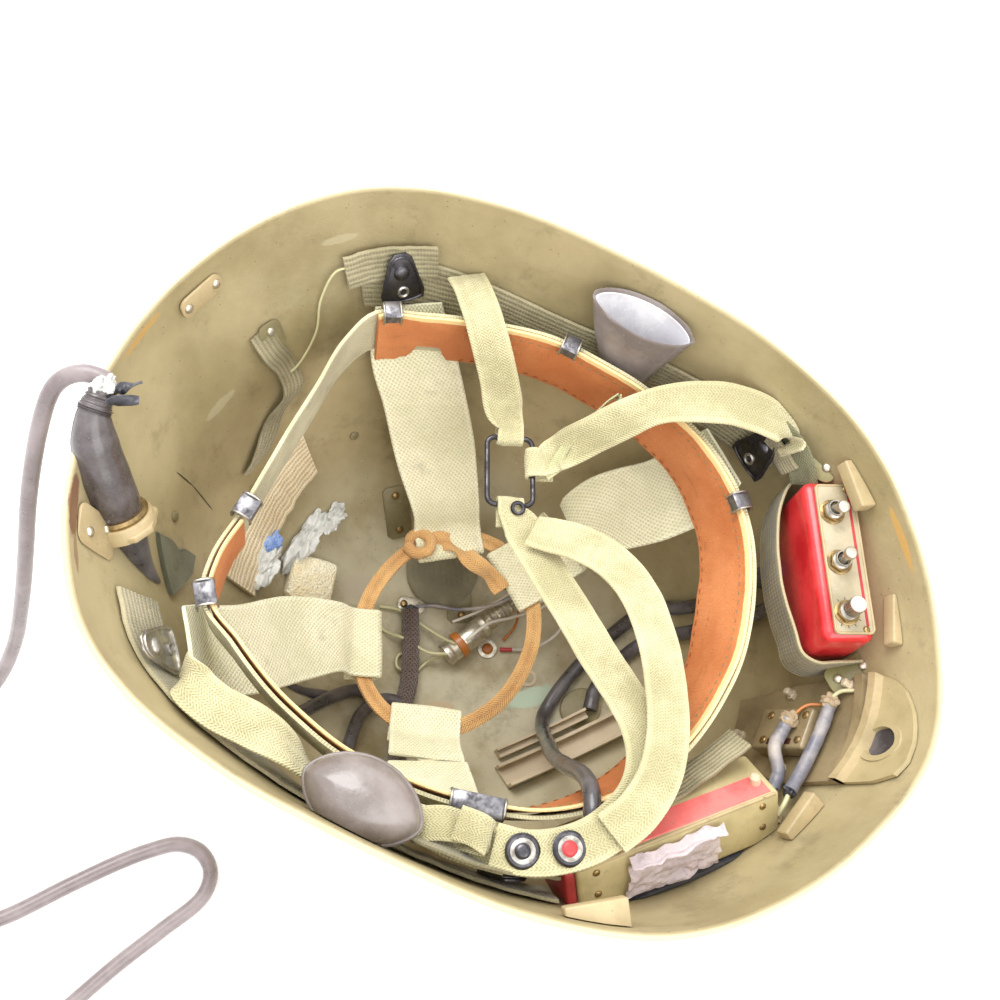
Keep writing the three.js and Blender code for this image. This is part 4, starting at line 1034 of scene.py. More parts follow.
@dataclass(frozen=True)
class ShellPaint:
    """Khaki shell paint: crown lightened by scuffs and painted light, tan rim, stains, bare strips, cracks
    and corrosion.
    """

    name: str = "shell_paint"
    light: Colour = lit(177, 162, 124)
    dark: Colour = lit(148, 134, 97)
    # Lighter crown colour: scuffs and painted light.
    crown: Colour = lit(198, 190, 162)
    rim: Colour = lit(222, 200, 158)

    def marks(self) -> list[tuple[Matrix, Row, Colour, float]]:
        """Frame, half size, colour and strength of each mark on the inside."""
        rust, ochre = lit(112, 66, 46), lit(190, 150, 84)
        marks = [
            (wall_frame(-156.2, 182), (12, 3.4, 5), rust, 0.8),
            (wall_frame(-150.0, 181), (8, 1.6, 4), rust, 0.55),
            (wall_frame(30.0, 177.5), (17, 1.9, 4), ochre, 0.9),
            (wall_frame(178.0, 179.5), (12, 1.5, 4), ochre, 0.8),
            (wall_frame(173.0, 126), (9, 2.4, 5), lit(190, 180, 148), 0.6),
            (wall_frame(144.0, 167), (8, 2.0, 5), lit(190, 180, 148), 0.5),
            (crown_frame(39, 3.5, 0, 40), (13, 5, 6), lit(186, 204, 180), 0.95),
            (crown_frame(52, -10, 0, 60), (10, 3.5, 6), lit(208, 214, 196), 0.7),
            (crown_frame(2, -22, 0, 20), (7, 5, 6), lit(196, 168, 128), 0.6),
            (crown_frame(-60, 10, 0, 20), (10, 7, 6), lit(188, 178, 158), 0.6),
        ]
        crack = ((-17, 125), (-15, 114), (-13, 91))
        for (y0, z0), (y1, z1) in zip(crack, crack[1:]):
            middle = wall_at((y0 + y1) / 2, (z0 + z1) / 2, 0, -1)
            along = wall_at(y1, z1, 0, -1) - wall_at(y0, z0, 0, -1)
            place = frame_at(middle, along, (1, 0, 0.5))
            marks.append((place, (along.length * 0.62, 0.42, 4), lit(48, 38, 26), 0.95))
        return marks

    def make(self) -> bpy.types.Material:
        """Builds the material."""
        shader = Shader(self.name)
        inside = shader.attribute("inside")
        depth = shader.attribute("depth")
        cloud = shader.span(shader.noise(14, 6, 0.6), 0.32, 0.68)
        colour = shader.mix(cloud, self.dark, self.light)
        low = shader.span(depth, 175, 90)
        # Painted light and scuffs: the crown colour comes in through a scuff noise, more the deeper the point
        # lies, so the bottom of the shell is lighter.
        wipe = shader.noise(32, 5, 0.6, shader.stretched(shader.place(), (1.0, 1.0, 2.5)))
        bottom = shader.math("MULTIPLY", shader.span(wipe, 0.3, 0.62), shader.span(depth, 120, 172))
        colour = shader.mix(bottom, colour, self.crown)
        grime = shader.math("MULTIPLY", shader.span(shader.noise(48, 8, 0.7), 0.52, 0.72), 0.45)
        colour = shader.mix(grime, colour, shade(self.dark, 0.42))
        haze = shader.math("MULTIPLY", shader.span(shader.noise(22, 5, 0.7), 0.5, 0.8), 0.4)
        colour = shader.mix(haze, colour, lit(178, 168, 138))
        fleck = shader.noise(520, 6, 0.78)
        lot = shader.math("MULTIPLY", shader.span(fleck, 0.64, 0.7), shader.span(depth, 60, 160, 0.35, 0.95))
        colour = shader.mix(lot, colour, lit(206, 198, 176))
        pits = shader.span(shader.cells(210), 0.02, 0.1, 0.7, 0.0)
        colour = shader.mix(pits, colour, shade(self.dark, 0.4))
        for place, size, tint, strength in self.marks():
            mark = shader.math(
                "MULTIPLY", shader.math("MULTIPLY", shader.blot(place, size), inside), strength,
            )
            colour = shader.mix(mark, colour, tint)
        # The rim's outer edge is paler.
        pale_edge = shader.math(
            "MULTIPLY", shader.attribute("edge"), shader.span(shader.noise(55, 4), 0.2, 0.5, 0.7, 1.0),
        )
        colour = shader.mix(pale_edge, colour, self.rim)
        scuff = shader.noise(240, 7, 0.8, shader.stretched(shader.place(), (1.0, 1.0, 4.0)))
        outer = shader.math("MULTIPLY", shader.span(scuff, 0.6, 0.7), shader.math("SUBTRACT", 1.0, inside))
        colour = shader.mix(shader.math("MULTIPLY", outer, 0.6), colour, lit(202, 192, 160))
        relief = shader.bump(shader.noise(760, 3), 0.0004, 0.35)
        relief = shader.bump(shader.noise(60, 4), 0.0014, 0.22, relief)
        rough = shader.math("MULTIPLY_ADD", low, -0.1, shader.span(cloud, 0.0, 1.0, 0.52, 0.64))
        return shader.finish(Base_Color=colour, Roughness=rough, Normal=relief)


# The material slot that each finish belongs to
SLOTS = {
    "shell_plastic": "shell_paint",
    "green_webbing": "band_webbing cradle_webbing",
    "pale_webbing": "chin_webbing tie_tape",
    "ribbed_webbing": "wall_webbing patch_webbing crown_webbing",
    "ribbed_elastic": "case_elastic nape_elastic",
    "brown_lace": "lace_weave",
    "orange_leather": "sweatband_leather",
    "dark_braid": "sleeve_braid thread_brown thread_green",
    "dark_rubber": "boot_rubber cup_rubber cone_pale",
    "black_rubber": "cable_rubber tape_black",
    "grey_rubber": "cord_plastic lead_sleeve lump_tan wire_white wire_cream amber",
    "bare_steel": "steel_bare steel_spotted silver_dull brass_dull",
    "black_steel": "steel_dark",
    "red_paint": "case_red end_red mark_pink",
    "olive_paint": "case_olive",
    "brown_olive_paint": "case_olive_dark plate_brown plate_olive slot_brown",
    "tan_paint": "clamp_paint pad_paint post_cream",
    "grey_tan_paint": "panel_enamel",
    "cream_foam": "foam_cream",
    "clear_film": "tape_film tape_wad tape_blue",
}
SLOT_OF = {finish: slot for slot, finishes in SLOTS.items() for finish in finishes.split()}


class Look:
    """The helmet's finishes, each made once."""

    def __init__(self) -> None:
        """Builds every material."""
        olive = lit(244, 238, 204), lit(226, 222, 184)
        pale = lit(214, 206, 164), lit(180, 172, 130)
        dark_green = lit(176, 166, 134), lit(142, 134, 104)
        made = [
            ShellPaint(),
            Webbing("cradle_webbing", *olive, Pattern.PLAIN, 1.9, 18.0),
            Webbing("band_webbing", lit(216, 208, 170), lit(188, 180, 142), Pattern.CHEVRON, 1.2, 15.0),
            Webbing("crown_webbing", lit(206, 198, 164), lit(160, 152, 120), Pattern.RIBBED, 2.4, 9.0),
            Webbing("patch_webbing", lit(130, 128, 98), lit(88, 88, 64), Pattern.PLAIN, 1.3, 6.0, soil=0.9),
            Webbing("chin_webbing", *pale, Pattern.CHEVRON, 1.3, 8.0, soil=0.3),
            Webbing("wall_webbing", *dark_green, Pattern.RIBBED, 2.0, 11.0),
            Webbing("nape_elastic", lit(234, 216, 180), lit(208, 188, 150), Pattern.RIBBED, 2.2, 12.0),
            Webbing(
                "case_elastic", lit(160, 148, 116), lit(128, 118, 88), Pattern.RIBBED, 2.4, 10.0,
                lit(190, 180, 142),
            ),
            Webbing("lace_weave", lit(236, 190, 128), lit(200, 148, 92), Pattern.TWILL, 1.3, 3.0, soil=0.3),
            Webbing("tie_tape", lit(206, 204, 158), lit(176, 176, 128), Pattern.TWILL, 1.0, 2.0),
            Leather("sweatband_leather", lit(222, 146, 92), lit(190, 110, 60), lit(244, 212, 150)),
            Paint("clamp_paint", lit(188, 168, 128), lit(166, 148, 110), lit(120, 100, 72)),
            Paint("pad_paint", lit(178, 162, 122), lit(160, 146, 106), lit(150, 132, 96), 0.4, 0.1, 0.2),
            Paint(
                "case_red", lit(230, 62, 64), lit(196, 28, 36), lit(232, 130, 120), 0.3, 0.25, 0.25, coat=0.4,
            ),
            Paint("end_red", lit(190, 60, 62), lit(150, 36, 42), lit(200, 130, 110), 0.4, 0.4),
            Paint("panel_enamel", lit(186, 174, 146), lit(162, 150, 122), lit(226, 218, 198), 0.42, 0.5),
            Paint("case_olive", lit(204, 188, 142), lit(180, 166, 122), lit(222, 206, 166), 0.38, 0.5, 0.25),
            Paint("case_olive_dark", lit(150, 140, 104), lit(122, 112, 80), lit(200, 184, 146), 0.45, 0.6),
            Paint(
                "plate_brown", lit(156, 138, 104), lit(128, 112, 82), lit(196, 178, 140), 0.28, 0.4,
                coat=0.25,
            ),
            # Dark colour that paints the shade in the terminal block's slot.
            Paint("slot_brown", lit(84, 44, 36), lit(54, 26, 22), lit(120, 80, 62), 0.4, 0.1),
            Paint("plate_olive", lit(150, 142, 96), lit(118, 112, 72), lit(190, 178, 148), 0.4, 0.5),
            Paint("mark_pink", lit(238, 128, 122), lit(224, 96, 94), lit(236, 190, 176), 0.45, 0.6, 0.2),
            Metal("steel_bare", lit(198, 194, 186), lit(128, 122, 112), 0.3),
            Metal("steel_spotted", lit(150, 148, 152), lit(70, 68, 72), 0.4),
            Metal("steel_dark", lit(96, 94, 98), lit(46, 44, 48), 0.3),
            Metal("silver_dull", lit(226, 220, 204), lit(166, 158, 138), 0.34),
            Metal("brass_dull", lit(176, 150, 104), lit(110, 92, 62), 0.36, 0.3),
            Rubber("boot_rubber", lit(64, 56, 54), lit(150, 142, 146), 0.24, 0.36, 0.6),
            Rubber("cable_rubber", lit(60, 56, 58), lit(146, 140, 142), 0.26, 0.4, 0.5),
            Rubber("cup_rubber", lit(118, 108, 104), lit(168, 158, 154), 0.26, 0.5, 0.5),
            Rubber("cord_plastic", lit(116, 104, 104), lit(168, 156, 156), 0.3, 0.5, 0.3),
            Rubber("lead_sleeve", lit(112, 112, 122), lit(196, 186, 178), 0.34, 1.0),
            Rubber("wire_white", lit(222, 216, 204), lit(180, 170, 150), 0.4, 0.5),
            Rubber("wire_cream", lit(206, 202, 158), lit(170, 160, 120), 0.4, 0.5),
            Rubber("tape_black", lit(52, 52, 58), lit(112, 112, 122), 0.34, 0.5),
            Rubber("cone_pale", lit(196, 194, 200), lit(240, 238, 236), 0.2, 0.8, 0.4),
            Rubber("post_cream", lit(212, 196, 168), lit(180, 162, 132), 0.42, 0.6),
            Rubber("lump_tan", lit(172, 152, 122), lit(136, 116, 90), 0.6, 0.6),
            Rubber("amber", lit(186, 112, 40), lit(130, 72, 26), 0.3, 0.4, 0.3),
            Rubber("thread_brown", lit(150, 92, 54), lit(110, 66, 40), 0.9, 0.4),
            Rubber("thread_green", lit(132, 134, 96), lit(96, 98, 66), 0.9, 0.3),
            Braid("sleeve_braid", lit(112, 92, 82), lit(54, 44, 40)),
            Foam("foam_cream", lit(255, 248, 218), lit(248, 232, 190)),
            Film("tape_film", lit(240, 226, 230), lit(206, 188, 190), 0.5),
            Film("tape_wad", lit(228, 228, 222), lit(176, 178, 170), 0.15),
            Film("tape_blue", lit(150, 176, 220), lit(96, 130, 196), 0.1),
        ]
        self.materials = {finish.name: finish.make() for finish in made}

    def dress(self, piece: Piece, name: str, smooth: float = 40.0) -> Piece:
        """Gives a piece a finish and smooth shading up to an angle."""
        piece.data.materials.clear()
        piece.data.materials.append(self.materials[name])
        start_clean()
        piece.select_set(True)
        bpy.context.view_layer.objects.active = piece
        bpy.ops.object.shade_smooth_by_angle(angle=math.radians(smooth))
        return piece


# Sub-assemblies


def hollow(gap: float) -> Piece:
    """A solid that fills the shell down to a gap from its inner wall, and stands past the rim."""
    around, up, step = 121, 44, 3.0
    first, past_rim = 0.009, 30
    rings = []
    for k in range(up):
        t = first + (1 - first) * (k / (up - 1)) ** 1.5
        rings.append([shell_point(j * step, t, WALL + gap) for j in range(around)])
    for point in rings[0]:
        point.z = WALL + gap
    rings.append([Vector((p.x, p.y, p.z + past_rim)) for p in rings[-1]])
    return grid_piece("hollow", np.array(rings), caps=True)


def combine(piece: Piece, other: Piece, operation: str, keep: bool = False) -> None:
    """Cuts, joins or intersects a piece with another solid, which is then removed unless kept."""
    apply_modifier(piece, "BOOLEAN", operation=operation, object=other, solver="EXACT")
    if not keep:
        bpy.data.objects.remove(other)


class Room:
    """The shell's hollow, which trims pieces so that they stop at the wall."""

    def __init__(self) -> None:
        """Makes the hollow that most pieces are trimmed with."""
        self.inner = hollow(GAP)

    def trim(self, piece: Piece) -> Piece:
        """Cuts off what reaches into the wall."""
        combine(piece, self.inner, "INTERSECT", keep=True)
        return piece

    def skin(self, piece: Piece, far: float, near: float = GAP) -> Piece:
        """Keeps only the layer of a piece between two distances from the wall."""
        combine(piece, hollow(near), "INTERSECT")
        combine(piece, hollow(far), "DIFFERENCE")
        return piece

    def clear(self) -> None:
        """Removes the hollow when everything is made."""
        bpy.data.objects.remove(self.inner)


@dataclass
class SubAssembly:
    """Pieces that are fixed to the helmet."""

    look: Look
    room: Room

    def keep(
        self, piece: Piece, finish: str, *nodes: str, slot: str = "", smooth: float = 40.0,
        body: str = HELMET,
    ) -> Piece:
        """Dresses a finished piece and puts it on its body.

        Args:
            piece: The piece.
            finish: Its finish.
            nodes: CAD nodes that it stands for.
            slot: Not used.
            smooth: Angle up to which faces are shaded smooth.
            body: The body that it rides on.

        Returns:
            The piece.
        """
        self.look.dress(piece, finish, smooth)
        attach(piece, body)
        if nodes:
            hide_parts(*nodes)
        log.info("%s: %d faces", piece.name, len(piece.data.polygons))
        return piece

    def fit(self, piece: Piece, finish: str, *nodes: str, **choices: object) -> Piece:
        """Trims a piece to the shell's hollow and keeps it."""
        return self.keep(self.room.trim(piece), finish, *nodes, **choices)

    def dome(self, name: str, place: Matrix, radius: float, tall: float, slotted: bool = False) -> Piece:
        """A rivet or screw head, with a slot if it is a screw."""
        r, h = radius, tall
        rows = ((0, -0.6), (r * 0.96, -0.6), (r, 0.15 * h), (r * 0.86, h * 0.62), (r * 0.5, h * 0.94), (0, h))
        head = turned(name, rows, place, 20)
        if slotted:
            bar = blocky(name + "_slot", (r * 2.4, r * 0.24, h), moved(place, 0, 0, h), 0.02, 1)
            combine(head, bar, "DIFFERENCE")
        return head

    def lump(self, name: str, centre: Row, radii: Row, seed: float, rough: float = 0.25) -> Piece:
        """An uneven knob of solder, tape or putty."""
        start_clean()
        bpy.ops.mesh.primitive_ico_sphere_add(subdivisions=4, radius=1)
        piece = active(name)
        for vertex in piece.data.vertices:
            swell = 1 + rough * noise.fractal(vertex.co * 1.7 + Vector((seed, seed, 0)), 1.0, 2.0, 3)
            vertex.co = Vector([c * r * swell for c, r in zip(vertex.co, radii)])
        return settle(piece, Matrix.Translation(Vector(centre)))


@dataclass
class Studio:
    """Camera, lights and floor."""

    right: Row = (0.89380519, 0.41464987, 0.17081501)
    down: Row = (0.44812097, -0.81110378, -0.37589659)
    ahead: Row = (-0.01731678, 0.41252411, -0.91078207)
    eye: Row = (-6.9703, -187.8988, 618.3173)
    lens: float = 47.304
    sensor: float = 36.0
    clip: Row = (0.01, 100.0)
    floor_size: float = 8.0
    surroundings: float = 1.5
    lights: Sequence = (("key", (-0.75, 0.55, 1.5), 1.1, 26.0), ("fill", (0.9, -0.7, 1.3), 1.2, 13.0))

    def camera(self) -> None:
        """Puts the camera where the photograph was taken from."""
        data = bpy.data.cameras.new("camera")
        data.lens, data.sensor_width, data.sensor_fit = self.lens, self.sensor, "HORIZONTAL"
        data.clip_start, data.clip_end = self.clip
        camera = bpy.data.objects.new("camera", data)
        bpy.context.collection.objects.link(camera)
        axes = (Vector(self.right), -Vector(self.down), -Vector(self.ahead))
        matrix = Matrix(axes).transposed().to_4x4()
        matrix.translation = Vector(self.eye) * MM
        camera.matrix_world = matrix
        bpy.context.scene.camera = camera

    def area(self, name: str, place: Row, size: float, power: float) -> None:
        """Adds a square light that faces the helmet."""
        data = bpy.data.lights.new(name, "AREA")
        data.energy, data.size = power, size
        light = bpy.data.objects.new(name, data)
        bpy.context.collection.objects.link(light)
        light.location = place
        light.rotation_euler = (Vector((0, 0, 0.1)) - Vector(place)).to_track_quat("-Z", "Y").to_euler()

    def build(self) -> None:
        """Makes the floor, the lights and the pale surroundings."""
        scene = bpy.context.scene
        scene.view_settings.view_transform = "Standard"
        start_clean()
        bpy.ops.mesh.primitive_plane_add(size=self.floor_size, location=(0, 0, 0))
        floor = active("floor")
        shader = Shader("floor_white")
        tone = shader.mix(shader.noise(3), (0.93, 0.93, 0.93), (0.95, 0.95, 0.95))
        floor.data.materials.append(shader.finish(Base_Color=tone, Roughness=0.7))
        world = bpy.data.worlds.new("surroundings")
        scene.world = world
        world.use_nodes = True
        background = world.node_tree.nodes["Background"].inputs
        background["Color"].default_value = (1.0, 1.0, 1.0, 1.0)
        background["Strength"].default_value = self.surroundings
        for light in self.lights:
            self.area(*light)


@dataclass
class Aerial(SubAssembly):
    """Aerial lead: cord, rubber boot, bracket on the rear wall and the cable below it."""

    radius: float = 3.25
    route: Rows = (
        (-155.6, -22.3, 194.5), (-158.6, -22.7, 195.1), (-163.4, -24, 195.3), (-168, -26.7, 193.5),
        (-171.4, -30, 189.6), (-173.1, -33.6, 184.3), (-174.3, -40, 172.5), (-174.6, -48, 157),
        (-174, -58, 137), (-173.4, -68.5, 109), (-173.8, -80, 76), (-176, -92, 43), (-181, -106, 18),
        (-189, -122, 5.4), (-197, -141, 3.3), (-200.5, -163, 3.3), (-197.5, -185, 3.3), (-186, -203, 3.3),
        (-167, -211.5, 3.3), (-147.5, -207, 3.3), (-127.5, -190, 3.3), (-109, -165.5, 3.3),
        (-95, -147.6, 3.3), (-86, -137.9, 3.3), (-76.5, -130.2, 3.3), (-66, -128.8, 3.3),
        (-57.8, -134.6, 3.3), (-55.8, -145.2, 3.3), (-64.5, -165, 3.3), (-74, -185, 3.3), (-83, -207, 3.3),
        (-92.5, -232, 3.3), (-98.6, -250, 3.3), (-100.6, -264, 3.3),
    )
    coil_centre: Row = (-61, -264)
    coil_radius: float = 39.6
    coil_step: float = 6.8
    coil_turns: int = 2
    coil_steps: int = 16
    floor: float = 3.3
    tail: Rows = (
        (-86.8, -264.2, 3.3), (-85.5, -270.2, 3.3), (-81.7, -275.2, 3.4), (-76.2, -278, 3.6),
        (-70.5, -278.5, 4),
    )
    boot: Rows = (
        (-132.8, -54.8, 154, 8.0), (-136.6, -52.1, 160.2, 8.5), (-140.9, -49.4, 167.4, 9.2),
        (-146.3, -45.2, 175.6, 9.0), (-151.2, -40, 184, 8.0), (-154.6, -33.4, 190.4, 5.8),
        (-155.6, -26.6, 193.8, 3.6),
    )
    lower: Rows = (
        (-132.4, -55.1, 153.3, 7), (-128.2, -58, 146, 5.6), (-122.5, -61, 136, 3.6), (-116, -63.5, 118, 3.4),
        (-111, -63, 104, 3.2),
    )
    socket_base: Row = (-132.8, -54.8, 154)
    socket_axis: Row = (-8, 5.6, 13)

    def line(self) -> np.ndarray:
        """The cord's middle: over the rim, along the floor, round the coil and to its end."""
        lead = spline(self.route, 260)
        x, y = self.coil_centre
        coil = []
        for k in range(1, self.coil_turns * self.coil_steps):
            angle = math.pi + math.tau * k / self.coil_steps
            radius = self.coil_radius - self.coil_step * k / self.coil_steps
            coil.append((x + math.cos(angle) * radius, y + math.sin(angle) * radius, self.floor))
        rest = spline([tuple(lead[-14]), tuple(lead[-7]), tuple(lead[-1]), *coil, *self.tail], 420)
        joint = int(np.argmin(np.linalg.norm(rest - lead[-1], axis=1)))
        return evenly(np.vstack([lead, rest[joint + 1 :]]), 520)

    def cord(self) -> None:
        line = self.line()
        cord = tube("aerial_cord_lead", line, self.radius, 16)
        self.keep(cord, "cord_plastic", "aerial_cord", "aerial_coil")
        rows = (
            (0, 0), (3.4, 0), (4.0, 0.8), (4.0, 4.4), (3.5, 4.8), (3.5, 6), (4.0, 6.4), (4.0, 15.2),
            (3.4, 16.2), (2.8, 16.6), (2.8, 18.6), (2.2, 19), (0, 19),
        )
        cap = turned("aerial_end_fitting", rows, frame_at((-71.5, -278.5, 4.1), (0, 0, 1), (1, 0.08, 0)))
        self.keep(cap, "steel_dark", "aerial_tip", slot="dark_rubber")
        path = [tuple(float(c) * MM for c in p[:3]) for p in line[::4]]
        path.append(tuple(float(c) * MM for c in line[-1][:3]))

    def fitting(self) -> None:
        """Makes the boot, its tape, the bracket and the cable below it."""
        line = spline(self.boot, 60)
        boot = tube("aerial_boot_sleeve", line, line[:, 3] * uneven(60, 0.03, 7.0, 4.2, 0), 32)
        self.keep(boot, "boot_rubber", "aerial_boot")
        wrap = spline([(*row[:3], row[3] + 0.5) for row in self.boot[-2:]], 40)
        wrap_piece = tube("aerial_tape_wrap", wrap, wrap[:, 3] * uneven(40, 0.2, 3.3, 1.2, 8), 20)
        self.keep(wrap_piece, "boot_rubber")
        tip = self.lump("aerial_tape_tip", (-155.8, -25.2, 194.2), (4.3, 4.6, 4.3), 5.0, 0.6)
        self.keep(tip, "tape_wad", smooth=20)
        flaps = (
            ((-154.4, -28, 192.6, 30, 40), (-150.4, -23.4, 194.6, 50, 20), (-144.6, -17.6, 195.8, 60, -20)),
            ((-153.6, -31, 191.6, 20, 50), (-149, -27.4, 194.2, 40, 30), (-142.4, -23.6, 194.2, 50, -10)),
        )
        for i, rows in enumerate(flaps):
            narrowing = [(*row, 1.0 - 0.25 * k) for k, row in enumerate(rows)]
            sheet = ribbon(f"aerial_tape_flap_{i + 1}", narrowing, 6.5, 0.5, 16, 0.9, 0.8, seed=i * 3.1)
            self.keep(sheet, "tape_black", slot="dark_rubber")
        place = frame_at(self.socket_base, heading(-157), self.socket_axis)
        rows = ((8.6, 0), (11.5, 0), (11.5, 5.2), (10.9, 6), (9.2, 6), (8.6, 5.4), (8.6, 0))
        self.keep(turned("aerial_collar", rows, place, 48), "clamp_paint", "aerial_bracket")
        outline = (
            (4, -10), (34, -10), (38, -6), (38, 6), (34, 10), (4, 10), (-6, 11.5), (-11.5, 6), (-11.5, -6),
            (-6, -11.5),
        )
        flange = plate("aerial_bracket_plate", outline, 2.6, moved(place, 0, 0, 0.2), 0.5)
        combine(flange, turned("bore", ((0, -9), (8.5, -9), (8.5, 9), (0, 9)), place, 40), "DIFFERENCE")
        self.fit(flange, "clamp_paint")
        rows = ((8.2, 6), (10.2, 6), (10.4, 7), (9.6, 8.2), (8.2, 8.2), (8.2, 6))
        self.keep(turned("aerial_clamp_ring", rows, place, 40), "brass_dull")
        under = spline(self.lower, 60)
        self.fit(tube("aerial_lower_cable", under, under[:, 3], 20), "cable_rubber", "aerial_lead")


@dataclass
class Shell(SubAssembly):
    """The shell, crown down, with its rounded rim and the hole in its front."""

    around: int = 241
    up: int = 90
    hole: Row = (1.0, 159.0, 4.8)

    def profile(self, angle: float) -> list[Vector]:
        """The section at one heading: up the outside, over the rim and down the inside."""
        steps = [(k / self.up) ** 1.6 for k in range(self.up)]
        rim = table_value(RIM, 2, angle)
        middle = shell_point(angle, 1.0, 0.0) - heading(angle, WALL / 2)
        outside = [shell_point(angle, t, 0.0) for t in steps]
        inside = [shell_point(angle, t, WALL) for t in steps]
        inside[0].xy, outside[0].xy = (0, 0), (0, 0)
        arc = []
        for k in range(9):
            turn = math.pi * k / 8
            lift = math.sin(turn) * WALL / 2
            arc.append(middle + heading(angle, math.cos(turn) * WALL / 2) + Vector((0, 0, lift - WALL / 2)))
        outside = [p for p in outside if p.z < rim - WALL / 2 - 0.4]
        inside = [p for p in inside if p.z < rim - WALL / 2 - 0.4]
        count = self.up - 4
        out = evenly(np.array([tuple(p) for p in (*outside, arc[0])]), count)
        back = evenly(np.array([tuple(p) for p in (*inside, arc[-1])]), count)[::-1]
        return [*out[:-1], *[np.array(p) for p in arc], *back[1:]]

    def build(self) -> None:
        """Makes the shell and stores what its paint needs on its mesh."""
        columns = [self.profile(360.0 * j / (self.around - 1)) for j in range(self.around)]
        points = np.array(columns).transpose(1, 0, 2)
        shell = grid_piece("shell_body", points)
        y, z, radius = self.hole
        place = frame_at((155, y, z), (0, 1, 0), (1, 0, 0.12))
        drill = turned("drill", ((0, -30), (radius, -30), (radius, 30), (0, 30)), place, 40)
        combine(shell, drill, "DIFFERENCE")
        self.store(shell)
        self.keep(shell, "shell_paint", "shell", smooth=50)

    def store(self, shell: Piece) -> None:
        """Stores depth below the rim in millimetres, whether a point is inside, and the rim's outer edge."""
        deep, within, edge = [], [], []
        for vertex in shell.data.vertices:
            x, y, z = vertex.co / MM
            angle = math.degrees(math.atan2(y, x))
            rim = table_value(RIM, 2, angle)
            middle = shell_radius(angle, min(max((z - 1.5) / (rim - 1.5), 0.0), 1.0), 1.5)
            deep.append(max(rim - z, 0.0))
            within.append(1.0 if math.hypot(x, y) < middle else 0.0)
            edge.append(smoothstep(2.6, 1.2, rim - z) * smoothstep(-0.5, 0.3, math.hypot(x, y) - middle))
        for name, values in (("depth", deep), ("inside", within), ("edge", edge)):
            shell.data.attributes.new(name, "FLOAT", "POINT").data.foreach_set("value", values)


def wall_band(
    name: str, rows: Rows, width: float, lift: float, steps: int, ripple: float = 0.25, seed: float = 0.0
) -> Piece:
    """A strap that lies on the inner wall.

    Args:
        name: The piece's name.
        rows: Heading and height of its middle.
        width: Its width.
        lift: Gap between it and the wall.
        steps: Samples along it.
        ripple: How far it wanders from the wall.
        seed: Which ripple it has.

    Returns:
        The piece in metres.
    """
    line = spline([(*row[:2], 0.0) for row in rows], steps)
    s, h = ribbon_section(20)
    points = np.empty((steps, len(s), 3))
    for i, (angle, z, _) in enumerate(line):
        for j, (side, through) in enumerate(zip(s, h)):
            wave = abs(wobble(seed + i / 7.0, side * 1.1, 0)) * ripple * 2
            height = lift + wave + WEB_THICK * (0.5 + through / 2)
            points[i, j] = wall_point(angle, z + side * width / 2, height)
    run = run_length(points[:, len(s) // 4])
    uv = np.stack(np.broadcast_arrays((s * width / 2)[None, :], run[:, None]), axis=-1)
    return grid_piece(name, points, uv, caps=True)


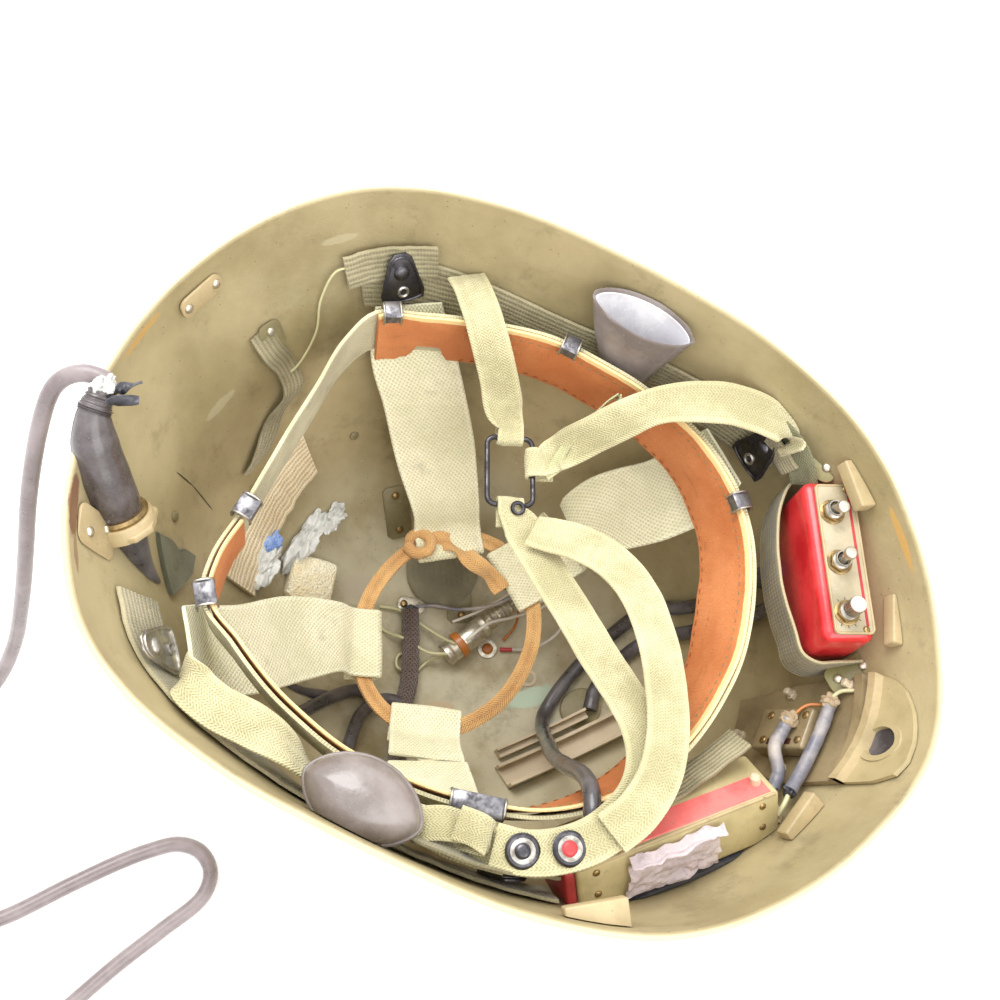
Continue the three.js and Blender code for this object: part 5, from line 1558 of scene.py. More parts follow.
@dataclass
class Headband(SubAssembly):
    """Webbing band, leather sweatband with its stitching, and the wire clips on them."""

    web_far: float = 2.0
    web_top: float = 1.2
    web_bottom: float = 2.2
    leather_near: float = 2.9
    leather_far: float = 4.5
    clips: Rows = ((141, 6.4), (101, 6.4), (43, 6.4), (-74, 19), (-145, 9), (-163, 8))

    def at(self, angle: float, distance: float, z: float) -> Vector:
        """Point of the band at a heading, a distance inside its outline and a height."""
        lean = table_value(HEADBAND, 2, angle) / BAND_HEIGHT
        wave = 0.6 * wobble(math.cos(math.radians(angle)) * 4, math.sin(math.radians(angle)) * 4, z / 40)
        radius = table_value(HEADBAND, 1, angle) - distance - (BAND_TOP - z) * lean + wave
        point = heading(angle, radius)
        return Vector((point.x, point.y + BAND_SHIFT, z))

    def loop(self, name: str, near: float, far: float, span: Row, edges: Sequence, steps: int) -> Piece:
        """A band between two headings whose top and bottom vary along it.

        Args:
            name: The piece's name.
            near: Distance of its outer face inside the outline.
            far: Distance of its inner face.
            span: First and last heading.
            edges: Functions that give its top and bottom height at a heading.
            steps: Samples along it.

        Returns:
            The piece in metres.
        """
        s, h = ribbon_section(28)
        closed = span[1] - span[0] >= 360
        top, bottom = edges
        points = np.empty((steps + 1, len(s), 3))
        for i in range(steps + 1):
            angle = span[0] + (span[1] - span[0]) * i / steps
            high, low = top(angle), bottom(angle)
            for j, (side, through) in enumerate(zip(s, h)):
                distance = near + (far - near) * (0.5 + through / 2)
                points[i, j] = self.at(angle, distance, low + (high - low) * (0.5 + side / 2))
        if closed:
            points[-1] = points[0]
        run = run_length(points[:, len(s) // 4])
        uv = np.stack(np.broadcast_arrays((s * BAND_HEIGHT / 2)[None, :], run[:, None]), axis=-1)
        return grid_piece(name, points, uv, caps=not closed)

    def leather_bottom(self, angle: float) -> float:
        """The sweatband's lower edge, with its notch, its hanging tab and its torn end."""
        low = BAND_TOP - BAND_HEIGHT + 1.0 * wobble(angle / 9.0, 3.0, 0)
        low += 9.0 * smoothstep(129, 131, angle) * (1 - smoothstep(136, 137.5, angle))
        low -= 3.0 * smoothstep(138.5, 140, angle)
        torn = smoothstep(126, 136, -angle) * (1 - smoothstep(146, 149, -angle))
        ragged = smoothstep(146, 160, -angle) * (3.0 + 4.0 * wobble(angle * 1.1, 7.0, 0))
        return low + ragged + torn * (11.0 + 2.0 * wobble(angle * 0.3, 7.0, 0))

    def build(self) -> None:
        """Makes the band, the leather, its stitches and the clips."""
        web = self.loop(
            "headband_webbing", 0.0, self.web_far, (-180, 180),
            (lambda _: BAND_TOP - self.web_top, lambda _: BAND_TOP - BAND_HEIGHT + self.web_bottom), 220,
        )
        self.keep(web, "band_webbing", "headband_web")
        leather = self.loop(
            "sweatband_leather_strip", self.leather_near, self.leather_far, (-160, 144),
            (lambda a: BAND_TOP + 0.4 + 0.4 * wobble(a / 11, 0, 0), self.leather_bottom), 300,
        )
        top = [smoothstep(BAND_TOP - 4.4, BAND_TOP - 1.4, v.co.z / MM) for v in leather.data.vertices]
        leather.data.attributes.new("top", "FLOAT", "POINT").data.foreach_set("value", top)
        self.keep(leather, "sweatband_leather", "sweatband")
        self.seam("sweatband_lower_seam", 2.2, (2.7, 1.9, 0.3), "thread_brown", False)
        self.seam("sweatband_upper_seam", 5.0, (2.2, 1.6, 0.24), "thread_green", True)
        for i, (angle, long) in enumerate(self.clips):
            self.clip(i, angle, long)

    def seam(self, name: str, rise: float, size: Row, finish: str, upper: bool) -> None:
        """Stitches along the leather's inner face, at a distance from one of its edges."""
        line, normals = [], []
        for k in range(280):
            angle = -127 + 255 * k / 279
            z = BAND_TOP - rise if upper else self.leather_bottom(angle) + rise
            line.append(self.at(angle, self.leather_far + 0.12, z))
            normals.append(-heading(angle))
        piece = stitches(name, np.array(line), np.array(normals), size)
        self.keep(piece, finish)

    def clip(self, number: int, angle: float, long: float) -> None:
        """A wire clip of a given length folded over the top edge of both bands."""
        outer, inner = self.at(angle, 0, BAND_TOP), self.at(angle, self.leather_far, BAND_TOP)
        along = (self.at(angle + 1, 0, BAND_TOP) - outer).normalized()
        down = self.at(angle, self.leather_far, BAND_TOP - BAND_HEIGHT) - inner
        down = (down - along * down.dot(along)).normalized()
        middle = (outer + inner) / 2
        middle.z = BAND_TOP + 0.9
        place = frame_at(middle, along.cross(down), along)
        o, n, w = 3.9, 3.2, 0.7
        outline = (
            (-o, -5), (-n, -5), (-n, 0), (n, 0), (n, -4), (o, -4), (o, w * 0.4), (o - 0.5, w), (0.5 - o, w),
            (-o, w * 0.4),
        )
        body = plate(f"headband_clip_body_{number + 1}", outline, long, moved(place, 0, 0, -long / 2), 0.25)
        self.keep(body, "steel_spotted", f"headband_clip_{number + 1}")
        wire = []
        for side in (-1, 1):
            bends = ((-o, -5.4), (-o, -2), (-o * 0.7, w), (o * 0.7, w), (o, -2), (o, -4.4))
            path = [tuple(place @ Vector((x, y, side * (long / 2 + 0.2)))) for x, y in bends]
            wire.append(tube(f"wire_{side}", spline(path, 24), 0.5, 10))
        self.keep(joined(f"headband_clip_wire_{number + 1}", wire), "steel_bare")


@dataclass
class Cradle(SubAssembly):
    """Straps that hang from the wall to the lace, the wall bands and the washers that hold them."""

    lace_centre: Row = (-12, -1.5, 54)
    lace_radii: Row = (38, 47)
    width: float = 36.0
    straps: Sequence = (
        (121, ((-87, 88.5, 143, 25, 0.78), (-78, 79, 124, 26), (-67, 71, 109, 28), (-52, 60, 84, 32))),
        (-149, ((-93, -80, 145, -54, 0.78), (-88, -74, 125, -55), (-79, -64, 109, -57), (-66, -43, 82, -60))),
        (-74, ((25, -101, 140, 24, 0.78), (22, -94, 122, 26), (17, -86, 108, 28), (9, -70, 82, 22))),
        (60, ((59, 93, 140, -38, 0.78), (54, 86, 122, -42), (45, 77, 110, -46), (26, 67, 88, -44))),
    )
    hem: Rows = (
        (9, 11.5), (3, 4.6), (-3, 2.5), (-8.5, 1.7), (-9.8, 0), (-8.5, -1.7), (-5, -2.35), (6, -2.35),
    )
    hangers: Sequence = (
        ("hanger_right", ((142, 150), (126, 146), (104, 140), (80, 143), (51, 150))),
        ("hanger_left", ((-148, 148), (-131, 150), (-104, 142), (-80, 142), (-58, 146))),
    )
    washers: Sequence = (
        ("rear_right", 135.5, 151, 5.7, "steel_dark"),
        ("rear_left", -138.2, 152, 5.7, "steel_bare"),
        ("front_right", 54, 147.6, 5.6, "steel_dark"),
        ("front_left", -66, 147, 4.9, "steel_dark"),
    )

    def lace_point(self, angle: float, grow: float, rise: float) -> Vector:
        """Point on the lace at a heading, a distance outside its middle and a height."""
        x, y, z = self.lace_centre
        a = math.radians(angle)
        rx, ry = self.lace_radii
        return Vector((x + math.cos(a) * (rx + grow), y + math.sin(a) * (ry + grow), z + rise))

    def strap_rows(self, angle: float, rows: Rows) -> list[Row]:
        """Rows of a cradle strap with the hem that folds round the lace."""
        middle = self.lace_point(angle, 0, 0)
        along = (self.lace_point(angle + 1, 0, 0) - middle).normalized()
        turn = math.degrees(math.atan2(along.y, along.x)) + (180 if rows[0][3] > 0 else 0)
        line = [(*row[:4], 0.0, row[4] if len(row) > 4 else 1.0) for row in rows]
        for out, rise in self.hem:
            line.append(
                (middle.x + along.y * out, middle.y - along.x * out, middle.z + rise, turn, 0, 31 / 36)
            )
        return line

    def build(self) -> None:
        """Makes the straps, the lace, the wall bands, the washers and the nape elastic."""
        for i, (angle, rows) in enumerate(self.straps):
            line = self.strap_rows(angle, rows)
            strap = ribbon(f"cradle_webbing_{i + 1}", line, self.width, WEB_THICK, 120, 0.4, seed=i * 5.3)
            self.fit(strap, "cradle_webbing", f"cradle_strap_{i + 1}")
        self.lace()
        for i, (name, rows) in enumerate(self.hangers):
            band = wall_band(name + "_band", rows, 22, 0.8, 110, 0.35, i * 8.8)
            self.keep(band, "wall_webbing", name)
        for washer in self.washers:
            self.washer(*washer)
        nape = wall_band(
            "nape_strap_elastic", ((160, 74), (172, 67), (184, 63), (196, 65)), 24, 0.8, 60, 0.5, 2.0,
        )
        self.keep(nape, "nape_elastic", "nape_strap")

    def lace(self) -> None:
        """The lace through the hems, with its knot and loose end."""
        rows = []
        for k in range(40):
            angle = 9.0 * k
            wander = 1.2 * wobble(math.cos(angle / 57.3) * 2, math.sin(angle / 57.3) * 2, 3)
            point = self.lace_point(angle, wander * 0.3, wander * 0.4)
            rows.append((*point, angle, 20 * math.sin(math.radians(angle * 2)), 1.0))
        self.keep(ribbon("lace_loop", rows, 7.0, 2.2, 200, 0.15, closed=True), "lace_weave", "lace_ring")
        bx, by, bz = self.lace_point(140, 0, 0)
        turns = (
            (-5, -3.4, 2.2), (0, -5.2, 3.6), (4.6, -2.0, 4.6), (3.4, 3.4, 4.4), (-2.2, 4.4, 3.4),
            (-5, 1, 1.4), (-2.6, -3.2, -1.2), (2.4, -2.2, -2), (4.4, 2.2, 0.4),
        )
        knot = tube("lace_knot", spline([(bx + x, by + y, bz + z) for x, y, z in turns], 70), 2.7, 14)
        self.keep(knot, "lace_weave")
        tail = (
            (bx + 2, by + 2, bz + 1.5, 60, 0), (bx + 8, by + 6, bz + 3.4, 130, 30),
            (bx + 16, by + 6.5, bz + 2, 120, -40), (bx + 25, by + 4, bz + 3, 100, 20),
            (bx + 34, by + 2.6, bz + 2.4, 90, 60), (bx + 43, by - 2, bz + 2, 80, 0),
        )
        self.keep(ribbon("lace_tail", tail, 8.6, 1.3, 60, 0.2, 0.3, seed=4.0), "lace_weave")

    def washer(self, name: str, angle: float, z: float, lift: float, finish: str) -> None:
        """A triangular washer, pressed up along its edges, with its rivet."""
        place = wall_frame(angle, z, lift)
        outline = ((-9, -10), (9, -10), (9.5, -6), (5, 10), (2.5, 12.5), (-2.5, 12.5), (-5, 10), (-9.5, -6))
        body = plate(f"washer_plate_{name}", outline, 1.3, place, 0.45, 3)
        self.keep(body, finish, f"washer_{name}")
        rims = [(x * 0.84, y * 0.84, 1.35) for x, y in outline]
        path = np.array([tuple(place @ Vector(p)) for p in spline(rims, 64, closed=True)[:-1, :3]])
        self.keep(tube(f"washer_bead_{name}", path, 0.55, 8, closed=True), finish)
        rivet = self.dome(f"washer_rivet_{name}", moved(place, 0, 3.5, 1.3), 3.4, 1.5)
        self.keep(rivet, finish)
        rows = ((1.4, 0), (2.6, 0), (2.6, 0.5), (2, 0.9), (1.4, 0.5), (1.4, 0))
        eye = turned(f"washer_eye_{name}", rows, moved(place, 0, -5.2, 1.3), 24)
        self.keep(eye, "steel_bare", slot=SLOT_OF[finish])


@dataclass
class ChinStrap(SubAssembly):
    """The legs, the ring that joins them, the strap and its loop, the snaps and the sewn ends."""

    width: float = 16.0
    ring: Row = (-18, 46, 132)
    ring_turn: float = -65.0
    ring_size: Row = (30, 19)
    wire: float = 1.1
    rear_leg: Rows = (
        (-70, 104, 158, 36), (-64, 97, 162.5, 36), (-57, 89.5, 163, 34), (-50, 82.5, 160, 32),
        (-39, 74, 147.5, 28), (-31.5, 67.5, 137.5, 26),
    )
    front_leg: Rows = (
        (80, 92.8, 165.9, 122, 0, 0.8), (76, 99.5, 167.5, 114), (65, 100.5, 170, 108, 0, 1.15),
        (51, 98.5, 170.5, 106, 0, 1.2), (35, 92.5, 168, 118, 0, 1.15), (22, 84, 165, 128),
        (14, 77, 158, 132, 20), (6, 69.5, 149, 130, 40), (-1, 63, 141, 120, 25), (-4.5, 59.5, 136.5, 112, 5),
    )
    strap: Rows = (
        (36, -99.5, 165.5, -90), (46, -97.5, 167, -84), (56, -92.5, 169, -68), (65, -84.5, 171, -50),
        (71, -74.5, 172, -26), (74.5, -62, 171.5, -4), (73, -49, 169, 16), (67, -37.5, 164.5, 34),
        (58, -27.5, 158.5, 42), (45, -16.5, 152, 46), (31, -4, 146, 47), (18, 7, 140.5, 48),
        (5, 17.5, 136.5, 44), (-3.5, 25, 134.6, 34),
    )
    loop: Rows = (
        (1, 24, 138.2, 60), (9, 24.5, 141.5, 84), (21, 24.5, 147, 82), (36, 20.5, 152.5, 66),
        (49, 11, 157.5, 46), (60, -3, 162, 32), (69, -20, 167, 22), (76, -39, 172, 12), (78, -55, 174.5, 0),
        (75.5, -69, 175.4, -16), (70, -80, 175, -36),
    )
    left_leg: Rows = (
        (-87, -91, 163.5, -50, 0), (-81, -97, 165.5, -66, 0), (-70, -100, 166, -84, 0),
        (-56, -100, 165, -90, 0), (-42, -100.5, 160.5, -90, 35), (-29, -103, 151, -90, 72),
        (-12, -104, 146, -90, 84), (6, -104, 147, -90, 76), (20, -103, 154.5, -88, 44),
        (31, -101, 161, -86, 10), (42, -99, 163, -82, 4),
    )

    def folded(self, rows: Rows, bar: Vector, travel: float, across: float, wide: float) -> list[Row]:
        """Rows of a strap whose end folds round a bar and goes back under itself."""
        away = self.wire + 0.6 + WEB_THICK / 2
        steps = (
            (-4, away + 0.4), (0, away), (away * 0.8, away * 0.6), (away, 0), (away * 0.8, -away * 0.6),
            (0, -away), (-9, -away - 0.2),
        )
        ends = []
        for distance, rise in steps:
            place = bar + heading(travel, distance) + Vector((0, 0, rise))
            ends.append((*place, across, 0.0, wide / self.width))
        return [(*row, 0.0, 1.0)[:6] if len(row) < 5 else (*row, 1.0)[:6] for row in rows] + ends

    def build(self) -> None:
        """Makes every strap, the ring, the snaps and the ends."""
        centre = Vector(self.ring)
        half = self.ring_size[0] / 2
        rear, front = centre - heading(self.ring_turn, half), centre + heading(self.ring_turn, half)
        side = centre + heading(self.ring_turn + 90, self.ring_size[1] / 2) - heading(self.ring_turn, 4)
        runs = (
            ("chin_leg_rear", self.folded(self.rear_leg, rear, self.ring_turn, 25, 11), 110),
            ("chin_leg_front", self.folded(self.front_leg, side, self.ring_turn - 90, 115, 13), 150),
            ("chin_strap", self.folded(self.strap, front, self.ring_turn + 180, 25, 11), 200),
            ("chin_loop", [(*row, 0.0, 1.0) for row in self.loop], 140),
            ("chin_leg_left", [(*row, 1.0) for row in self.left_leg], 150),
        )
        for i, (name, rows, steps) in enumerate(runs):
            piece = ribbon(name + "_webbing", rows, self.width, WEB_THICK, steps, 0.55, seed=i * 7.7)
            if name in ("chin_leg_front", "chin_leg_left"):
                piece = self.room.trim(piece)
            self.keep(piece, "chin_webbing", name)
        self.ring_wire(centre)
        self.snaps()
        self.ends()

    def ring_wire(self, centre: Vector) -> None:
        """The wire ring that the legs meet at."""
        w, h, corner = self.ring_size[0] / 2, self.ring_size[1] / 2, 3.5
        corners = (
            (w - corner, h - corner, 0), (corner - w, h - corner, 90), (corner - w, corner - h, 180),
            (w - corner, corner - h, 270),
        )
        place = frame_at(centre, heading(self.ring_turn), (0, 0, 1))
        path = []
        for x, y, start in corners:
            for turn in range(0, 91, 10):
                path.append(tuple(place @ (heading(start + turn, corner) + Vector((x, y, 0)))))
        ring = tube("chin_ring_wire", np.array(path), self.wire, 14, closed=True)
        self.keep(ring, "steel_dark", "chin_ring")

    def snap(self, name: str, place: Matrix, middle: str) -> None:
        """A press stud: a dark ring, a pale washer and its middle."""
        ring = ((2.6, -0.4), (6, -0.4), (6.2, 0.4), (5.4, 1.1), (4.4, 1), (3.6, 0.5), (2.6, 0.3), (2.6, -0.4))
        self.keep(turned(name + "_ring", ring, place, 36), "steel_dark")
        stud = ((0, -0.3), (2.7, -0.3), (2.9, 0.5), (2.2, 1.3), (1.2, 1.5), (0, 1.2))
        self.keep(turned(name + "_middle", stud, place, 28), middle, slot="black_steel")
        washer = ((2.6, 0.2), (4.4, 0.7), (4.4, 1.05), (3.4, 1.05), (2.6, 0.5), (2.6, 0.2))
        self.keep(turned(name + "_washer", washer, place, 36), "steel_bare")

    def snaps(self) -> None:
        """The press studs on the strap and the eyelet at its free end."""
        self.snap("chin_snap_right", frame_at((59.6, -90, 170.9), (1, 0, 0), (0.1, -0.05, 1)), "end_red")
        self.snap("chin_snap_left", frame_at((45.6, -97.4, 168.3), (1, 0, 0), (0.0, -0.1, 1)), "steel_dark")
        eyelet = ((1.5, -0.6), (2.9, -0.6), (3.1, 0.2), (2.5, 0.9), (1.7, 0.8), (1.5, 0.3), (1.5, -0.6))
        place = frame_at((-8.2, 30.6, 136.6), (1, 0, 0), (0.05, -0.15, 1))
        self.keep(turned("chin_end_eyelet", eyelet, place, 28), "steel_dark")

    def ends(self) -> None:
        """The loose ends at both sides: frayed tails, a small loop and the dark tape."""
        tails = (
            ("chin_tail_left", "chin_webbing", (
                (34, -97, 164, -80, 10), (26, -98.4, 166.5, -84, 20), (17, -101, 168, -88, 0),
                (9, -105, 166, -92, -20),
            )),
            ("chin_tail_fold", "chin_webbing", (
                (20, -101.5, 157, -88, 40), (28, -100, 163.4, -86, 20), (33, -99, 168.6, -84, 0),
                (29, -98.5, 171.6, -84, -10), (21, -99, 170.6, -86, -10),
            )),
            ("chin_end_right", "patch_webbing", (
                (72, 103, 163, 140, 60), (79, 98, 164.4, 130, 40), (86, 92.5, 162, 120, 50),
                (91, 88, 157, 110, 60),
            )),
            ("chin_end_fold", "wall_webbing", (
                (70, 99, 158, 140, 80), (77, 95, 158, 130, 80), (84, 91, 156, 120, 80),
            )),
            ("front_wall_web", "wall_webbing", (
                (82.5, -56.5, 145.5, -32, 40), (90.5, -45.5, 146, -32, 40), (98, -33, 146.5, -28, 40),
                (106, -18, 147.5, -20, 40),
            )),
            ("wall_tape_left", "wall_webbing", (
                (10, -107, 165, -70, 50), (22, -107.5, 166, -80, 60), (36, -106, 164, -90, 70),
                (50, -102, 160, -96, 74), (60, -98, 156, -100, 76),
            )),
        )
        for i, (name, finish, rows) in enumerate(tails):
            piece = ribbon(name, [(*row, 0.8) for row in rows], 15, 1.4, 60, 0.8, 0.5, seed=30 + i * 4)
            self.fit(piece, finish)
        ties = (
            ("tie_tape_strip", 4.2, 50, (
                (-3, 52, 135, 30, 0), (-2, 62, 141, 20, 40), (1, 73, 147, 10, 70), (4, 82, 152, 0, 80),
                (7.4, 88.4, 154, 0, 80),
            )),
            ("tie_tape_return", 4.0, 54, (
                (-4, 50, 134.6, 30, 10), (2, 60, 138.6, 20, 30), (8, 70, 145.6, 10, 60),
                (10, 80, 151.5, 0, 70), (8.2, 88.6, 154, 0, 80),
            )),
        )
        for name, width, seed, rows in ties:
            piece = ribbon(name, [(*row, 1.0) for row in rows], width, 0.7, 60, 0.3, 0.3, seed=seed)
            self.keep(piece, "tie_tape")


@dataclass
class EarPieces(SubAssembly):
    """A rubber funnel with an open mouth on the right and a closed cup on the left."""

    funnel: Rows = (
        (6, 103.6, 139, 9, 4, 0), (5, 104.4, 148, 11, 4.6, 0), (3.5, 106.6, 158, 15, 5.4, 1),
        (2.8, 109, 168, 19, 6.6, 2), (2.5, 111.4, 178, 22.5, 7.6, 3),
    )
    cup: Rows = (
        (-8, -104.5, 155.5, 9, 4, 0), (-9, -105, 159.5, 15, 8, 0), (-10, -106, 165, 20, 12.5, 0),
        (-11, -106.5, 171, 21.5, 14, 0), (-11, -107, 177, 18.5, 12, 0), (-11, -107.5, 181, 11, 7.5, 0),
        (-11, -107.5, 182.5, 3.5, 2.4, 0),
    )

    def rings(self, rows: np.ndarray, inset: float, folds: float = 0.0, pinch: float = 1.0) -> np.ndarray:
        """Ellipses through rows of place, half sizes and lift, with folds and pinched ends."""
        angle = np.linspace(0, math.tau, 73)
        fold = 1 + folds * np.cos(angle * 9) * (1 + np.sin(angle * 2)) / 2
        s = np.sin(angle)
        c, s = np.cos(angle) * fold, np.sign(s) * np.abs(s) ** pinch * fold
        out = np.empty((len(rows), len(angle), 3))
        for i, (x, y, z, half_x, half_y, lift) in enumerate(rows):
            out[i, :, 0] = x + c * (half_x - inset)
            out[i, :, 1] = y + s * (half_y - inset)
            out[i, :, 2] = z + s * lift
        return out

    def build(self) -> None:
        """Makes the funnel, its pale lining and the cup."""
        rows = spline(self.funnel, 36)
        wall, lining, pinch, cup_pinch = 1.0, 1.15, 1.25, 1.3
        outside = self.rings(rows, 0.0, 0.02, pinch)
        lip = self.rings(rows[-1:], wall / 2, 0.0, pinch)
        lip[..., 2] += 0.5
        inside = self.rings(rows[::-1][:23], wall, 0.0, pinch)
        funnel = grid_piece("ear_funnel_rubber", np.concatenate([outside, lip, inside]), caps=True)
        self.fit(funnel, "cup_rubber", "ear_funnel")
        deep = rows[15:35]
        near, far = self.rings(deep, lining, 0.0, pinch), self.rings(deep[::-1], lining + 0.6, 0.0, pinch)
        cone = grid_piece("ear_funnel_lining", np.concatenate([near, far]), caps=True)
        self.fit(cone, "cone_pale")
        cup = grid_piece("ear_cup_dome", self.rings(spline(self.cup, 44), 0.0, 0.0, cup_pinch), caps=True)
        self.fit(cup, "cup_rubber", "ear_cup", smooth=70)
        bead = self.rings(np.array([(-10.9, -106.4, 170.4, 21.6, 14.0, 0.0)]), 0.0, 0.0, cup_pinch)[0, :-1]
        self.fit(tube("ear_cup_bead", bead, 0.9, 12, closed=True), "cup_rubber")


@dataclass
class ControlUnit(SubAssembly):
    """Red case on the right wall with a face plate, two toggles, a volume knob and its elastic."""

    origin: Row = (114.5, 61.3, 164)
    turn: float = -62.6
    switches: Sequence = (("upper_toggle", -19.0, 15.0), ("middle_toggle", 2.0, 0.0))
    knob_along: float = 22.5
    lift: float = 0.35
    pivot: float = 3.4
    row: float = -2.5
    face: Row = (62, 16.5, 1.2)
    elastic: Rows = (
        (92, 97.5, 142, 0, 90), (87, 88, 141, 0, 90), (87.5, 76, 140, 0, 90), (91, 64, 140, 0, 90),
        (99, 47, 140, 0, 90), (111, 31.5, 139, 0, 90), (117, 25, 138, 0, 90), (124, 24.6, 137.5, 0, 90),
        (132, 29.2, 137, 0, 90), (140.5, 34, 137, 0, 90),
    )

    def frame(self) -> Matrix:
        """The face's frame: x along it, y across it and z up."""
        return frame_at(self.origin, heading(self.turn), (0, 0, 1))

    def at(self, along: float, across: float, up: float) -> Matrix:
        """The face's frame moved to a place on it."""
        return moved(self.frame(), along, across, up)

    def build(self) -> None:
        """Makes the case, the face, the switches, the knob and the elastic band."""
        case = blocky("control_case_red", (66, 21, 38), self.at(0, -1.5, -19), 3.6, 5)
        self.fit(case, "case_red", "control_case")
        long, wide, thick = self.face
        outline = rounded(long, wide, 2)
        face = plate("control_face_plate", outline, thick, self.at(0, 0, self.lift), 0.3)
        self.keep(face, "panel_enamel", "control_face")
        border = [tuple(self.frame() @ Vector((x * 0.985, y * 0.95, thick + 0.3))) for x, y in outline]
        self.keep(tube("control_face_border", np.array(border), 0.5, 8, closed=True), "clamp_paint")
        groove = blocky("control_face_groove", (56, 1.2, 0.5), self.at(0, 5.4, thick + 0.3), 0.2, 1)
        self.keep(groove, "end_red")
        self.marks(thick + self.lift)
        for name, along, tilt in self.switches:
            self.seat(name, along, thick + self.lift)
            self.lever(name, along, tilt, thick)
        self.seat("knob", self.knob_along, thick + self.lift)
        self.knob(thick)
        for i, along in enumerate((-29, 29.2)):
            spot = self.at(along, 4.6, thick + self.lift)
            self.keep(self.dome(f"control_face_screw_{i + 1}", spot, 1.4, 0.8, True), "brass_dull")
        rows = [(*row, 1.0) for row in self.elastic]
        band = ribbon("control_band_elastic", rows, 20, 1.4, 120, 0.3, seed=61)
        self.fit(band, "case_elastic", "control_band")

    def marks(self, up: float) -> None:
        """Plain tick marks round the knob."""
        ticks = []
        for k in range(9):
            angle = 210 - 30 * k
            place = self.at(self.knob_along, self.row, up) @ Matrix.Rotation(math.radians(angle), 4, "Z")
            ticks.append(blocky(f"tick_{k}", (1.1, 0.3, 0.12), moved(place, 5.7, 0, 0.02), 0.03, 1))
        self.keep(joined("control_dial_ticks", ticks), "tape_black")

    def seat(self, name: str, along: float, up: float) -> None:
        """The washer, nut and bush that a switch sits in."""
        place = self.at(along, self.row, up) @ Matrix.Rotation(math.radians(11 * along), 4, "Z")
        rows = ((2.75, 0), (5.1, 0), (5.1, 0.45), (4.8, 0.6), (2.75, 0.6), (2.75, 0))
        washer = turned(name + "_washer", rows, place, 36)
        rows = ((2.75, 0.6), (4.3, 0.6), (4.5, 0.9), (4.5, 2.2), (4.1, 2.6), (2.75, 2.6), (2.75, 0.6))
        nut = turned(name + "_nut", rows, place, 6)
        rows = [(2.75, 0), (3.3, 0)]
        for k in range(5):
            rows += [(3.6, 2.6 + k * 0.44), (3.35, 2.82 + k * 0.44)]
        rows += [(3.2, 5.0), (2.75, 5.0), (2.75, 0)]
        bush = turned(name + "_bush", rows, place, 32)
        self.keep(washer, "brass_dull", slot="grey_tan_paint")
        self.keep(nut, "brass_dull", smooth=20, slot="grey_tan_paint")
        self.keep(bush, "steel_bare", slot="grey_tan_paint")

    def lever(self, name: str, along: float, tilt: float, thick: float) -> None:
        """A switch lever on its own body, turned about the ball at its foot."""
        turn = math.radians(tilt)
        upright = heading(self.turn, math.sin(turn)) + Vector((0, 0, math.cos(turn)))
        foot = self.at(along, self.row, self.lift + thick + self.pivot).translation
        place = frame_at(foot, heading(self.turn + 90), upright)
        rows = (
            (0, -2.2), (1.2, -1.9), (2.0, -1.0), (2.2, 0), (1.9, 0.9), (1.4, 1.7), (1.4, 4.9), (2.2, 5.6),
            (2.5, 6.3), (2.5, 8.0), (2.2, 8.6), (1.4, 8.95), (0, 9),
        )
        self.keep(turned(name + "_lever", rows, place, 28), "silver_dull", name, body=name)

    def knob(self, thick: float) -> None:
        """The knurled knob with its pale top, on its own body."""
        place = self.at(self.knob_along, self.row, self.lift + thick + self.pivot)
        count, radii = 44, (3.05, 3.4)
        teeth = []
        for k in range(count):
            angle, radius = math.tau * k / count, radii[k % 2]
            teeth.append((radius * math.cos(angle), radius * math.sin(angle)))
        skirt = plate("volume_knob_knurl", teeth, 5.2, moved(place, 0, 0, 2.2), 0.0)
        self.keep(skirt, "steel_bare", "volume_knob", smooth=20, body="volume_knob")
        shaft = turned("volume_knob_shaft", ((0, -2.2), (2.2, -2.2), (2.2, 2.25), (0, 2.25)), place, 24)
        self.keep(shaft, "steel_dark", body="volume_knob", slot="bare_steel")
        rows = ((0, 7.3), (3.1, 7.3), (3.1, 7.8), (2.6, 8.6), (1.5, 9), (0, 9))
        top = turned("volume_knob_top", rows, place, 28)
        self.keep(top, "wire_white", body="volume_knob", slot="grey_tan_paint")


